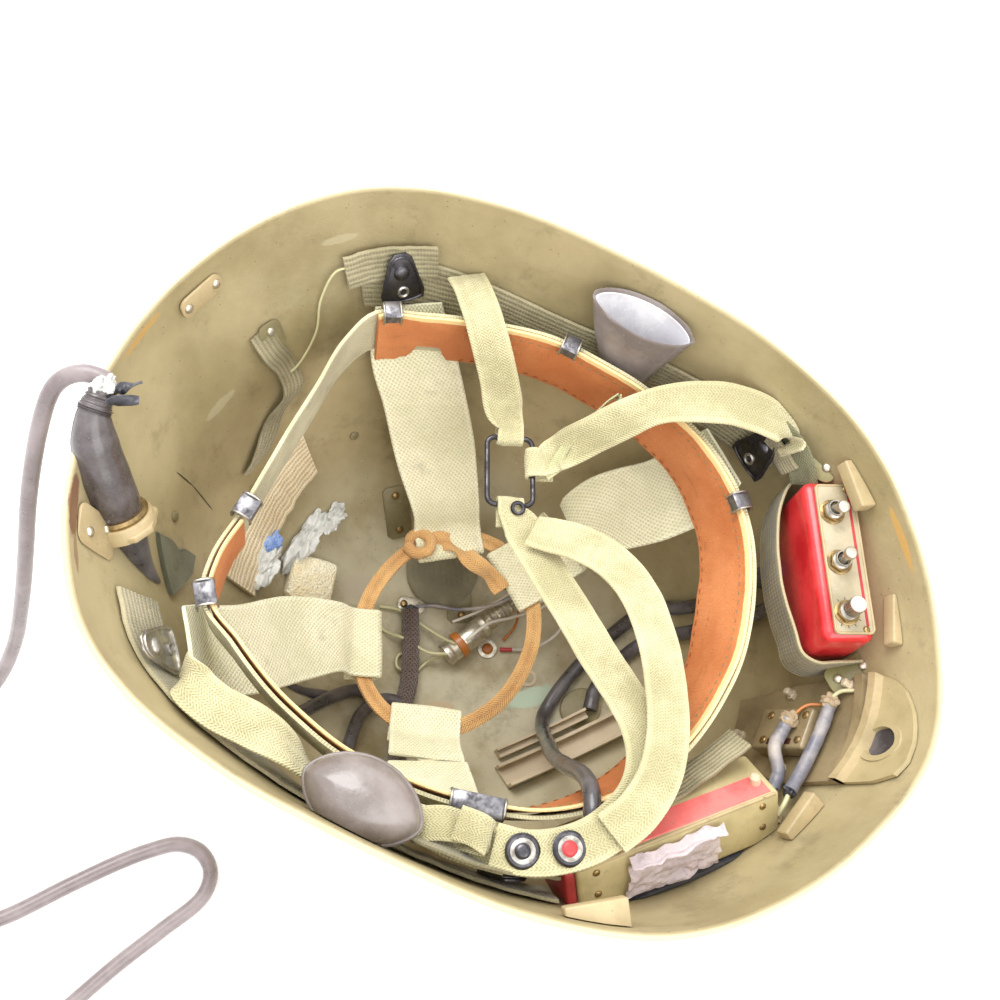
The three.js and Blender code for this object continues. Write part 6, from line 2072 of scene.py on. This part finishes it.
@dataclass
class Fixings(SubAssembly):
    """Clamps, riveted tabs, the front pad and the small things on the wall."""

    clamps: Sequence = (
        ("control_clamp_1", 39.8, 171, (20, 6, 6)), ("control_clamp_2", 18.5, 163, (20, 6, 3.6)),
        ("radio_clamp_1", -55, 178, (22, 6, 7)), ("radio_clamp_2", -14.5, 146, (20, 6, 6)),
    )

    def build(self) -> None:
        """Makes every fixing on the wall."""
        for name, angle, z, (long, wide, deep) in self.clamps:
            place = wall_frame(angle, z)
            bar = blocky(name + "_bar", (long, wide, deep + 4), moved(place, 0, 0, deep / 2 - 2), 0.8, 3)
            self.fit(bar, "clamp_paint", name)
        upper = frame_at((91, 97.2, 160), (0.75, -0.1, 0.25), (-0.35, -0.35, 1))
        lower = frame_at((139.0, 28.6, 142.6), (0.62, 0.72, 0.31), (-0.5, -0.15, 1))
        tabs = (
            ("tab_front_upper", upper, (20, 12), ((-5.6, 0), (5.6, 0)), "plate_olive"),
            ("tab_front_lower", lower, (20, 12), ((-5.6, 0), (5.6, 0)), "plate_olive"),
            ("aerial_wall_plate", wall_frame(-154.6, 168, 0.7), (15, 24), ((-2, 5), (3, -6)), "clamp_paint"),
            ("clip_plate_rear", wall_frame(167.3, 172.5, 0.7), (21, 9), ((-7.5, 0), (7.5, 0)), "clamp_paint"),
            ("tab_rear", wall_frame(159.3, 138, 0.7), (11, 15), ((0, 3.4),), "case_olive_dark"),
        )
        for tab in tabs:
            self.tab(*tab)
        self.rear_strap()
        self.front_flange()
        self.wall_marks()

    def tab(self, name: str, place: Matrix, size: Row, rivets: Rows, finish: str) -> None:
        """A riveted tab with rounded ends."""
        base = plate(name + "_plate", rounded(*size, 3.5), 1.3, place, 0.4)
        self.fit(base, finish, slot="brown_olive_paint")
        for k, (x, y) in enumerate(rivets):
            head = self.dome(f"{name}_rivet_{k + 1}", moved(place, x, y, 1.25), 2.0, 1.2)
            self.keep(head, "silver_dull")

    def rear_strap(self) -> None:
        """The folded strip of webbing and the loose thread at the rear right."""
        rows = ((161, 143.5), (160.5, 134), (159, 124), (159.5, 113), (164, 103), (170, 93), (175, 86))
        line = []
        for k, (angle, z) in enumerate(rows):
            line.append((*wall_point(angle, z, 1.6 + 1.6 * (k % 2)), angle + 90, 0, 1.0 - 0.03 * k))
        strip = ribbon("rear_strap_strip", line, 11, 1.2, 90, 0.7, 0.6, seed=71)
        self.fit(strip, "wall_webbing")
        thread = (
            (-112, 84, 158), (-117, 79, 157), (-118.5, 70, 147), (-116, 62, 134), (-118, 50, 122),
            (-121, 45, 119),
        )
        self.keep(tube("rear_thread", spline(thread, 90), 0.5, 8), "wire_cream", slot="pale_webbing")
        # A dark sheet on the rear wall paints the shadow there.
        sheet = frame_at((-80, -48, 118), (0, 1, 0), (-1, 0, 0))
        outline = ((3.7, -13.7), (6.2, -5), (5.4, 2), (9, 8), (10.8, 16), (3, 13), (-2.8, 6.5), (-13.8, -7))
        sheet = self.room.skin(plate("rear_painted_shadow", outline, 80, sheet, 0), 1.9)
        self.keep(sheet, "patch_webbing")
        rows = ((144.5, 156), (137, 158.5), (129, 161))
        patch = wall_band("rear_patch_webbing", rows, 13, 3.0, 40, 0.5, 9.0)
        self.keep(patch, "wall_webbing")

    def front_flange(self) -> None:
        """The pad with its hole, a dark disc in the hole that paints its shade, and the bar below it."""
        place = front_frame()
        outline = (
            (27, 157.5), (25.5, 162), (21, 167), (13, 171), (3, 173.4), (-7, 174), (-13, 171.5), (-16, 163),
            (-17, 151.6),
        )
        pad = self.room.skin(plate("front_pad", outline, FRONT_START, place, 0), 2.2)
        hole = frame_at(wall_at(1.3, 159.6, 0.0), (0, 1, 0), (-1, 0, -0.16))
        for name, inner, outer, far, finish in (
            ("front_hole_lip", 6.1, 8.4, 2.8, "pad_paint"),
            # A dark disc in the hole paints the shade inside it.
            ("front_hole_shade_disc", 0.0, 6.1, 1.1, "cable_rubber"),
        ):
            rows = ((inner, -9), (outer, -9), (outer, 9), (inner, 9))
            ring = turned(name, rows + rows[:1] if inner else rows, hole, 48)
            self.keep(self.room.skin(ring, far), finish, slot="tan_paint")
        combine(pad, turned("hole", ((0, -9), (6.2, -9), (6.2, 9), (0, 9)), hole, 48), "DIFFERENCE")
        self.keep(pad, "pad_paint")
        corners = ((27, 154.3), (27, 157.4), (-17, 151.6), (-17, 148.4))
        strip = plate("front_flange_bar", corners, FRONT_START, place, 0)
        self.keep(self.room.skin(strip, 5.4), "clamp_paint")

    def wall_marks(self) -> None:
        """Rivet heads on the wall."""
        places = ((159.4, 112), (148, 70), (-166, 120), (30, 120), (-120, 100), (96, 120))
        for i, (angle, z) in enumerate(places):
            head = self.dome(f"wall_rivet_{i + 1}", wall_frame(angle, z, 0.6), 2.2, 0.7)
            self.keep(head, "case_olive_dark", slot="olive_paint")


@dataclass
class Junction(SubAssembly):
    """The plate on the front wall with its block, posts, leads and terminals."""

    outline: Rows = ((-20, 124), (-17, 148), (27, 148), (20, 84), (-4, 84))
    posts: Rows = ((20, 116), (3.4, 90), (23, 143.5), (-13, 122))
    leads: Sequence = (
        ((6.2, 139.8, 7.2), (3, 138.6, 7.2), (-1, 137.6, 7.2), (-6, 138, 7.2), (-11, 140, 7.2)),
        ((1.6, 132.5, 14.7), (-1.2, 131.4, 14.7), (-4.2, 130.6, 14.1), (-8, 131, 8.7), (-12, 132.6, 7.2)),
    )

    def build(self) -> None:
        """Makes the plate and everything on it."""
        place = front_frame()
        base = self.room.skin(plate("junction_base", self.outline, FRONT_START, place, 0), 2.95, 0.35)
        self.keep(base, "plate_brown", "junction_plate")
        corners = ((-17, 147.5), (27, 147.5), (27, 151), (-17, 151))
        rim = plate("junction_flange", corners, FRONT_START, place, 0)
        self.keep(self.room.skin(rim, 5.0), "plate_brown")
        spot = wall_frame(0.8, 120, 7.3)
        block = blocky("junction_terminal_block", (18, 28, 8), spot, 1.3, 4)
        self.keep(block, "plate_brown", "junction_block")
        # A dark bar paints the shade in the block's slot.
        slot = blocky("junction_slot_shade", (2.6, 13, 0.8), moved(spot, 6.2, 1, 3.9), 0.3, 2)
        self.keep(slot, "slot_brown")
        for k, (x, y) in enumerate(((-5.5, -8), (5.5, -8), (-5.5, 11), (5.5, 11))):
            head = self.dome(f"junction_block_screw_{k + 1}", moved(spot, x, y, 4), 1.7, 0.9, True)
            self.keep(head, "brass_dull")
        rows = ((0, -0.5), (2.4, -0.5), (2.4, 1.2), (1.7, 1.6), (1.7, 3.8), (1.3, 4.4), (0, 4.5))
        for k, (y, z) in enumerate(self.posts):
            place = frame_at(wall_at(y, z, 2.9), (0, 1, 0), (-1, 0, 0.35))
            self.keep(turned(f"junction_post_{k + 1}", rows, place, 6), "post_cream", smooth=25)
        for i, rows in enumerate(self.leads):
            line = spline([(*wall_point(*row), 0.0) for row in rows], 70)
            sleeve = tube(f"junction_sleeve_{i + 1}", line, 2.7 * uneven(70, 0.12, 6.0, i * 5.0, 0), 18)
            self.keep(sleeve, "lead_sleeve", f"junction_lead_{i + 1}")
            for k, row in enumerate((rows[0], rows[-1])):
                size = (3.5, 3.3, 3.2) if k == 0 else (2.6, 2.6, 2.4)
                lump = self.lump(f"junction_lump_{i + 1}_{k + 1}", wall_point(*row), size, 3.0 * i + k, 0.4)
                self.keep(lump, "lump_tan" if k == 0 else "tape_black", slot="grey_rubber")
        cores = (
            ("wire_cream", 0.8, ((6.2, 139.8, 8), (8, 143, 6.5), (8.5, 146.5, 3.6))),
            ("amber", 0.7, ((1.6, 132.5, 14.5), (5, 134.5, 11), (6, 138, 4))),
            ("wire_cream", 1.0, ((-11, 140, 7.2), (-13.4, 140.6, 6), (-15.4, 139, 4))),
            ("wire_cream", 1.1, ((-12, 132.6, 7), (-14, 133, 5.4), (-16, 131, 3.6))),
        )
        for i, (finish, radius, rows) in enumerate(cores):
            line = spline([tuple(wall_point(*row)) for row in rows], 30)
            self.keep(tube(f"junction_core_{i + 1}", line, radius, 10), finish)
        ferrule = self.lump("junction_ferrule", wall_point(-15.2, 136, 3.8), (3.0, 3.6, 2.4), 17.0, 0.5)
        self.keep(ferrule, "post_cream", slot="grey_rubber")


@dataclass
class Radio(SubAssembly):
    """The sloping case on the front left wall, with its end band, bracket and crumpled tape."""

    base: Row = (94.3, -64.7, 158.5)
    slope: float = 50.0

    def frame(self) -> Matrix:
        """The case's frame: x along it, y outwards and z inwards, from its upper edge."""
        u = Vector((64, 67.4, -13)).normalized()
        n = Vector((-u.y, u.x, 0)).normalized()
        s, c = math.sin(math.radians(self.slope)), math.cos(math.radians(self.slope))
        inward, outward = n * s - Vector((0, 0, c)), n * -c - Vector((0, 0, s))
        matrix = Matrix((u, outward, inward)).transposed().to_4x4()
        matrix.translation = Vector(self.base)
        return matrix

    def block(self, name: str, x: Row, y: Row, z: Row, bevel: float, segments: int = 3) -> Piece:
        """A block between two limits on each of the case's axes."""
        size = [b - a for a, b in (x, y, z)]
        middle = [(a + b) / 2 for a, b in (x, y, z)]
        return blocky(name, size, self.frame() @ Matrix.Translation(middle), bevel, segments)

    def build(self) -> None:
        """Makes the case and what is on it."""
        case = self.room.trim(self.block("radio_case_body", (-41.65, 46), (0, 23), (0, 24), 1.8, 4))
        self.keep(case, "case_olive", "radio_case")
        band = self.block("radio_end_band", (-46, -42), (0.5, 23), (0.5, 24), 1.2, 3)
        self.fit(band, "end_red", "radio_end")
        bracket = self.block("radio_wall_bracket", (-28, 30), (23.35, 68), (3, 21), 0.8, 2)
        self.fit(bracket, "case_olive_dark", "radio_bracket")
        self.keep(self.block("radio_stripe", (-37, 43), (-0.35, 0.4), (1.6, 12), 0.25, 1), "mark_pink")
        edge = self.block("radio_worn_edge", (-40, 44.5), (-0.12, 1.3), (-0.12, 1.3), 0.62, 3)
        self.keep(edge, "clamp_paint")
        for k, (x, y) in enumerate(((-34, 4), (38, 4), (-34, 14.4), (38, 14.4), (2, 20.6))):
            place = moved(self.frame(), x, y, 0) @ Matrix.Rotation(math.pi, 4, "X")
            self.keep(self.dome(f"radio_screw_{k + 1}", place, 1.5, 0.8, True), "brass_dull")
        post = moved(self.frame(), 40, -0.2, 8) @ Matrix.Rotation(math.pi / 2, 4, "X")
        rows = ((0, 0), (2.2, 0), (2.2, 3), (1.5, 3.8), (0, 4))
        self.keep(turned("radio_post", rows, post, 24), "post_cream")
        # A dark strip paints the shadow where the case meets the wall.
        under = self.block("radio_shadow_strip", (-44, 44), (23.2, 31), (-1.4, 3), 0.6, 2)
        self.fit(under, "tape_black")
        self.tape(case)

    def tape(self, case: Piece) -> None:
        """The crumpled clear tape on the case."""
        count_x, count_y = 60, 54
        points = np.empty((count_y, count_x, 3))
        frame_mm = self.frame()
        for i in range(count_y):
            for j in range(count_x):
                u, v = j / (count_x - 1), i / (count_y - 1)
                crease = noise.fractal(Vector((u * 3.4, v * 3.4, 1.7)), 0.8, 2.1, 4)
                sharp = abs(wobble(u * 5.0, v * 5.0, 6.0))
                x = -21 + 40 * u + 1.8 * wobble(u * 2, v * 3, 9) - 2.5 * v
                y = 1.6 + 19.5 * v + 1.6 * wobble(u * 3, v * 2, 4)
                lift = 1.6 + 1.6 * crease + 2.4 * sharp
                curl = smoothstep(0.26, 0.0, v) * math.pi * 1.3
                y += 3.0 * (1 - math.cos(curl)) - 5.0 * math.sin(curl * 0.5)
                lift += 3.0 * math.sin(curl * 0.8)
                points[i, j] = frame_mm @ Vector((x, y, -max(lift, 0.5)))
        tape = grid_piece("radio_tape_tag", points)
        apply_modifier(tape, "SOLIDIFY", thickness=0.0004, offset=0)
        self.keep(tape, "tape_film", "tape_tag")


@dataclass
class CrownWorks(SubAssembly):
    """What lies on the crown: patch, plates, capacitor, wires, cables, rails, tape and foam."""

    cable_1: Sequence = (
        ((99, 63, 125), (96, 61, 108), (91, 58.5, 88)),
        ((80, 57), (68, 54.5), (57.5, 38.5), (49, 14), (46.5, -4)),
        ((48, -13, 22), (50, -22, 40), (50.5, -32, 65), (51, -43, 95), (54, -52, 125), (57.5, -59.5, 150),
         (60, -66.5, 162.2), (62.5, -73, 165), (65.5, -80, 162), (68, -84.5, 158)),
    )
    cable_2: Sequence = (
        ((108, 54, 125), (105, 52, 108), (99, 50, 88)),
        ((87, 48), (75, 43), (66.5, 30), (63, 15), (64.5, 5.5)), (),
    )
    patch_centre: Row = (-28, 38)
    patch_radius: float = 17.5
    capacitor_from: Row = (-8, 1, 9.9)
    capacitor_to: Row = (11, 41, 15.4)

    def build(self) -> None:
        """Makes everything on the crown."""
        self.patch()
        self.plates()
        self.capacitor()
        self.wires()
        self.cables()
        self.rails()
        self.soft_bits()

    def patch(self) -> None:
        """The round ribbed patch: ribs across a disc that follows the crown."""
        cx, cy = self.patch_centre
        rings = []
        for r in np.linspace(self.patch_radius, 0.0, 22):
            ring = []
            for a in np.linspace(0, math.tau, 61):
                x, y = cx + math.cos(a) * r, cy + math.sin(a) * r
                rib = 0.45 * math.sin((x * 0.8 + y * 0.6) * 2.4)
                drop = 1.8 * max(0.0, (r - 15.2) / 2.3) ** 2
                ring.append(tuple(crown_point(x, y, 4.3 + rib - drop)))
            rings.append(ring)
        low = [[tuple(crown_point(x, y, 0.6)) for x, y, _ in rings[0]]]
        middle = crown_point(cx, cy, 0.6).z
        base = [[(cx + (x - cx) * 0.02, cy + (y - cy) * 0.02, middle) for x, y, _ in rings[0]]]
        piece = grid_piece("crown_patch_disc", np.array(base + low + rings), caps=True)
        self.keep(piece, "crown_webbing", "crown_patch", smooth=60)

    def plates(self) -> None:
        """Riveted plates, the clamp over the sleeve, the disc and its stud."""
        tools = (
            ("crown_plate_rear", (-60, 48, 0.9), -50, (27, 12), ((-9, 0), (9, 0)), "case_olive_dark"),
            ("crown_plate_middle", (-15, 32, 0.9), -62, (26, 12), ((-9, 0), (9, 1)), "case_olive_dark"),
            ("crown_clamp_plate", (-34, 17, 1.2), 20, (14, 7), ((-4, 0),), "silver_dull"),
        )
        for name, (x, y, lift), turn, (long, wide), rivets, finish in tools:
            place = crown_frame(x, y, lift, turn)
            w, h = long / 2, wide / 2
            outline = (
                (w - 2, h), (w, h - 2), (w, 2 - h), (w - 2, -h), (2 - w, -h), (-w, 2 - h), (-w, h - 2),
                (2 - w, h),
            )
            self.keep(plate(name, outline, 1.2, place, 0.35), finish, slot="brown_olive_paint")
            for k, (rx, ry) in enumerate(rivets):
                head = self.dome(f"{name}_rivet_{k + 1}", moved(place, rx, ry, 1.15), 1.9, 1.1)
                self.keep(head, "brass_dull")
        place = crown_frame(61.5, 6, 0.6, 0)
        rows = ((0, 0), (10, 0), (10.2, 0.9), (9.4, 1.5), (8.6, 1.1), (0, 0.9))
        self.keep(turned("crown_disc", rows, place, 56), "case_olive_dark", slot="olive_paint")
        self.keep(self.dome("crown_disc_rivet", moved(place, 2, -3, 0.9), 1.9, 1.0), "silver_dull")
        rows = ((2.6, 0), (4.2, 0), (4.2, 0.4), (3.4, 0.6), (2.6, 0.4), (2.6, 0))
        self.keep(turned("crown_ring_mark", rows, crown_frame(33, 11, 0.3, 0), 36), "post_cream")

    def capacitor(self) -> None:
        """The tubular capacitor with its ribbed neck, tie, lug and leads."""
        start, end = Vector(self.capacitor_from), Vector(self.capacitor_to)
        place = frame_at(start, (0, 0, 1), end - start)
        rows = [
            (0, 0), (5.2, 0), (5.8, 0.6), (5.8, 3.2), (5.4, 3.8), (5.8, 4.4), (5.8, 21), (5.4, 21.6),
            (5.8, 22.4), (5.8, 24.4), (4.6, 25.6),
        ]
        for k in range(6):
            rows += [(3.7, 26.6 + k * 2.3), (4.5, 27.4 + k * 2.3), (4.5, 28.0 + k * 2.3)]
        rows += [(3.6, 40.4), (1.3, 41), (1.3, 43), (0, 43)]
        body = turned("capacitor_body", rows, place, 40)
        self.keep(body, "silver_dull", "capacitor", slot="dull_silver")
        rows = ((5.9, 7), (6.5, 7.4), (6.6, 9), (6.5, 10.6), (5.9, 11), (5.9, 7))
        self.keep(turned("capacitor_tie", rows, place, 40), "amber", slot="dull_silver")
        lug = crown_frame(9, 15.6, 0.4, 40)
        ear = turned("capacitor_lug", ((1.7, 0), (4.6, 0), (4.6, 0.9), (1.7, 0.9), (1.7, 0)), lug, 32)
        self.keep(ear, "silver_dull", slot="dull_silver")
        screw = self.dome("capacitor_lug_screw", moved(lug, 0, 0, 0.9), 2.8, 1.2, True)
        self.keep(screw, "amber", slot="bare_steel")

    def wires(self) -> None:
        """Thin wires round the capacitor, each on its own loose path over the crown."""
        paths = (
            ("wire_cream", 0.8, ((-47, 8, 1.4), (-38, 11, 3), (-26, 10, 4.6), (-14, 8, 8), (-6, 6, 15))),
            ("wire_cream", 0.8, ((-49, 2, 1.2), (-40, -1, 2), (-28, -1, 7.5), (-16, -2, 9), (-7, 1, 12))),
            ("wire_cream", 0.7, (
                (-22, -4, 1.5), (-28, -8, 2), (-26, -14, 3), (-18, -12, 2), (-14, -4, 3), (-8, 1, 9),
            )),
            ("wire_white", 0.8, ((26, 46, 2), (22, 40, 7), (12, 30, 12), (4, 22, 16), (-2, 10, 17))),
            ("wire_white", 0.8, ((34, 44, 1.5), (36, 36, 6), (33, 28, 9), (26, 22, 5), (20, 20, 2))),
            ("wire_white", 0.7, ((16, 50, 3), (10, 46, 9), (4, 36, 12), (-4, 26, 9), (-12, 18, 6))),
            ("lead_sleeve", 0.9, ((-34, 14, 5), (-24, 20, 7), (-12, 24, 8), (2, 32, 12), (8, 38, 14))),
            ("amber", 0.7, ((6, 44, 2.5), (12, 43, 9), (14, 36, 10), (16, 30, 4), (14, 22, 2))),
        )
        for i, (finish, radius, rows) in enumerate(paths):
            line = spline(on_crown([(x, y, max(lift, 1.2)) for x, y, lift in rows]), 60)
            self.keep(tube(f"crown_wire_{i + 1}", line, radius, 10), finish)
        tip = spline(on_crown(((20, 20, 1.9), (17, 18.6, 1.8), (14.6, 17.6, 1.7))), 14)
        self.keep(tube("crown_wire_red_end", tip, 1.1, 12), "end_red", slot="grey_rubber")
        for k, (x, y, lift, size) in enumerate(((12, 49, 5, 4.2), (5, 47, 4.5, 3.6), (-32, 12, 6, 3.4))):
            radii = (size, size * 1.3, size)
            self.keep(
                self.lump(f"crown_splice_{k + 1}", crown_point(x, y, lift), radii, 40 + k), "tape_black",
            )

    def cables(self) -> None:
        """The two black cables, the fuzzy sleeve and the dark leads behind it."""
        for number, (upper, crown, rest) in enumerate((self.cable_1, self.cable_2)):
            rows = [*upper, *on_crown([(x, y, 4.8) for x, y in crown]), *rest]
            line = spline(rows, 320 if rest else 170)
            swell = 3.3 * uneven(len(line), 0.05, 9.0, number * 5.0, 0)
            cable = self.room.trim(tube(f"cable_{number + 1}_rubber", line, swell, 16))
            self.keep(cable, "cable_rubber", f"cable_{number + 1}")
        start = spline([(99, 63, 126), (98.4, 62.4, 120), (97.4, 61.6, 115)], 16)
        self.fit(tube("cable_joint_sleeve", start, 4.6, 18), "tape_black")
        places = ((-33, 13), (-26, 0), (-18, -18), (-14, -36), (-8, -54), (-1, -70))
        route = spline(on_crown([(x, y, 6.2) for x, y in places]), 140)
        fuzz = 4.2 * uneven(140, 0.08, 2.2, 5.0, 2)
        self.fit(tube("sleeve_braided", route, fuzz, 20), "sleeve_braid", "sleeve_lead")
        dark = (
            ((-30, -32), (-38, -36), (-45, -45), (-51, -57), (-55, -68)),
            ((-14, -30), (-24, -33), (-30, -45), (-29, -60), (-26, -74)),
            (
                (-112, -63.6, 103), (-106, -62, 90), (-97, -60, 76), (-86, -57, 60), (-74, -54, 46),
                (-60, -52, 33), (-48, -46, 24),
            ),
        )
        for i, rows in enumerate(dark):
            if len(rows[0]) == 2:
                rows = on_crown([(x, y, 4.4 + 2.6 * (i == 1)) for x, y in rows])
            line = spline(rows, 90)
            self.fit(tube(f"crown_dark_lead_{i + 1}", line, 3.0, 14), "cable_rubber")

    def rails(self) -> None:
        """The two pale channel strips along the front of the crown."""
        near, far = Vector((40.6, -42, 0)), Vector((80, 5, 0))
        place = frame_at(near, far - near, (0, 0, 1))
        long = (far - near).length
        parts = (
            (-6, 6, 1.85, 0, long), (-6, -4.5, 6, 0, long), (4.5, 6, 6, 0, long), (9, 13.5, 4.4, 4, 49),
            (12.3, 13.5, 7, 4, 49),
        )
        for i, (y0, y1, top, x0, x1) in enumerate(parts):
            middle = Matrix.Translation(((x0 + x1) / 2, (y0 + y1) / 2, 45))
            strip = blocky(f"crown_rail_part_{i + 1}", (x1 - x0, y1 - y0, 90), place @ middle, 0.01, 1)
            nodes = ("crown_rail",) if i == 0 else ()
            self.keep(self.room.skin(strip, top), "post_cream", *nodes)

    def soft_bits(self) -> None:
        """Foam block and crumpled tape at the rear of the crown."""
        place = frame_at(crown_point(-80, -3, 5.2), heading(16), (0.55, 0, 1))
        foam = blocky("foam_block_piece", (23, 21, 9.4), place, 2.2, 4)
        apply_modifier(foam, "SUBSURF", levels=2, render_levels=2, subdivision_type="SIMPLE")
        height, pace = 0.0012, 160
        for vertex in foam.data.vertices:
            vertex.co += Vector((0, 0, 1)) * height * noise.noise(vertex.co * pace)
        self.fit(foam, "foam_cream", "foam_block")
        wads = (
            ("tape_wad_1", (-90, 9, 5), (5.5, 14, 4.5), "tape_wad"),
            ("tape_wad_2", (-98, -12, 6), (5, 10, 4.5), "tape_wad"),
            ("tape_wad_3", (-84, 27, 4), (4.5, 8, 3.6), "tape_wad"),
            ("tape_wad_blue", (-100, -3, 7), (3.2, 5.5, 3), "tape_blue"),
        )
        for i, (name, (x, y, lift), radii, finish) in enumerate(wads):
            wad = self.lump(name, crown_point(x, y, lift), radii, 60 + 7 * i, 0.7)
            self.fit(wad, finish, smooth=18)


def main() -> None:
    """Builds the sub-assemblies in order."""
    logging.basicConfig(level=logging.INFO, format="%(name)s %(message)s")
    studio = Studio()
    studio.camera()
    studio.build()
    look, room = Look(), Room()
    aerial = Aerial(look, room)
    aerial.cord()
    aerial.fitting()
    groups = (
        Shell, Headband, Cradle, ChinStrap, EarPieces, ControlUnit, Fixings, Junction, Radio, CrownWorks,
    )
    for group in groups:
        log.info("building %s", group.__name__)
        group(look, room).build()
    room.clear()


if __name__ == "__main__":
    main()
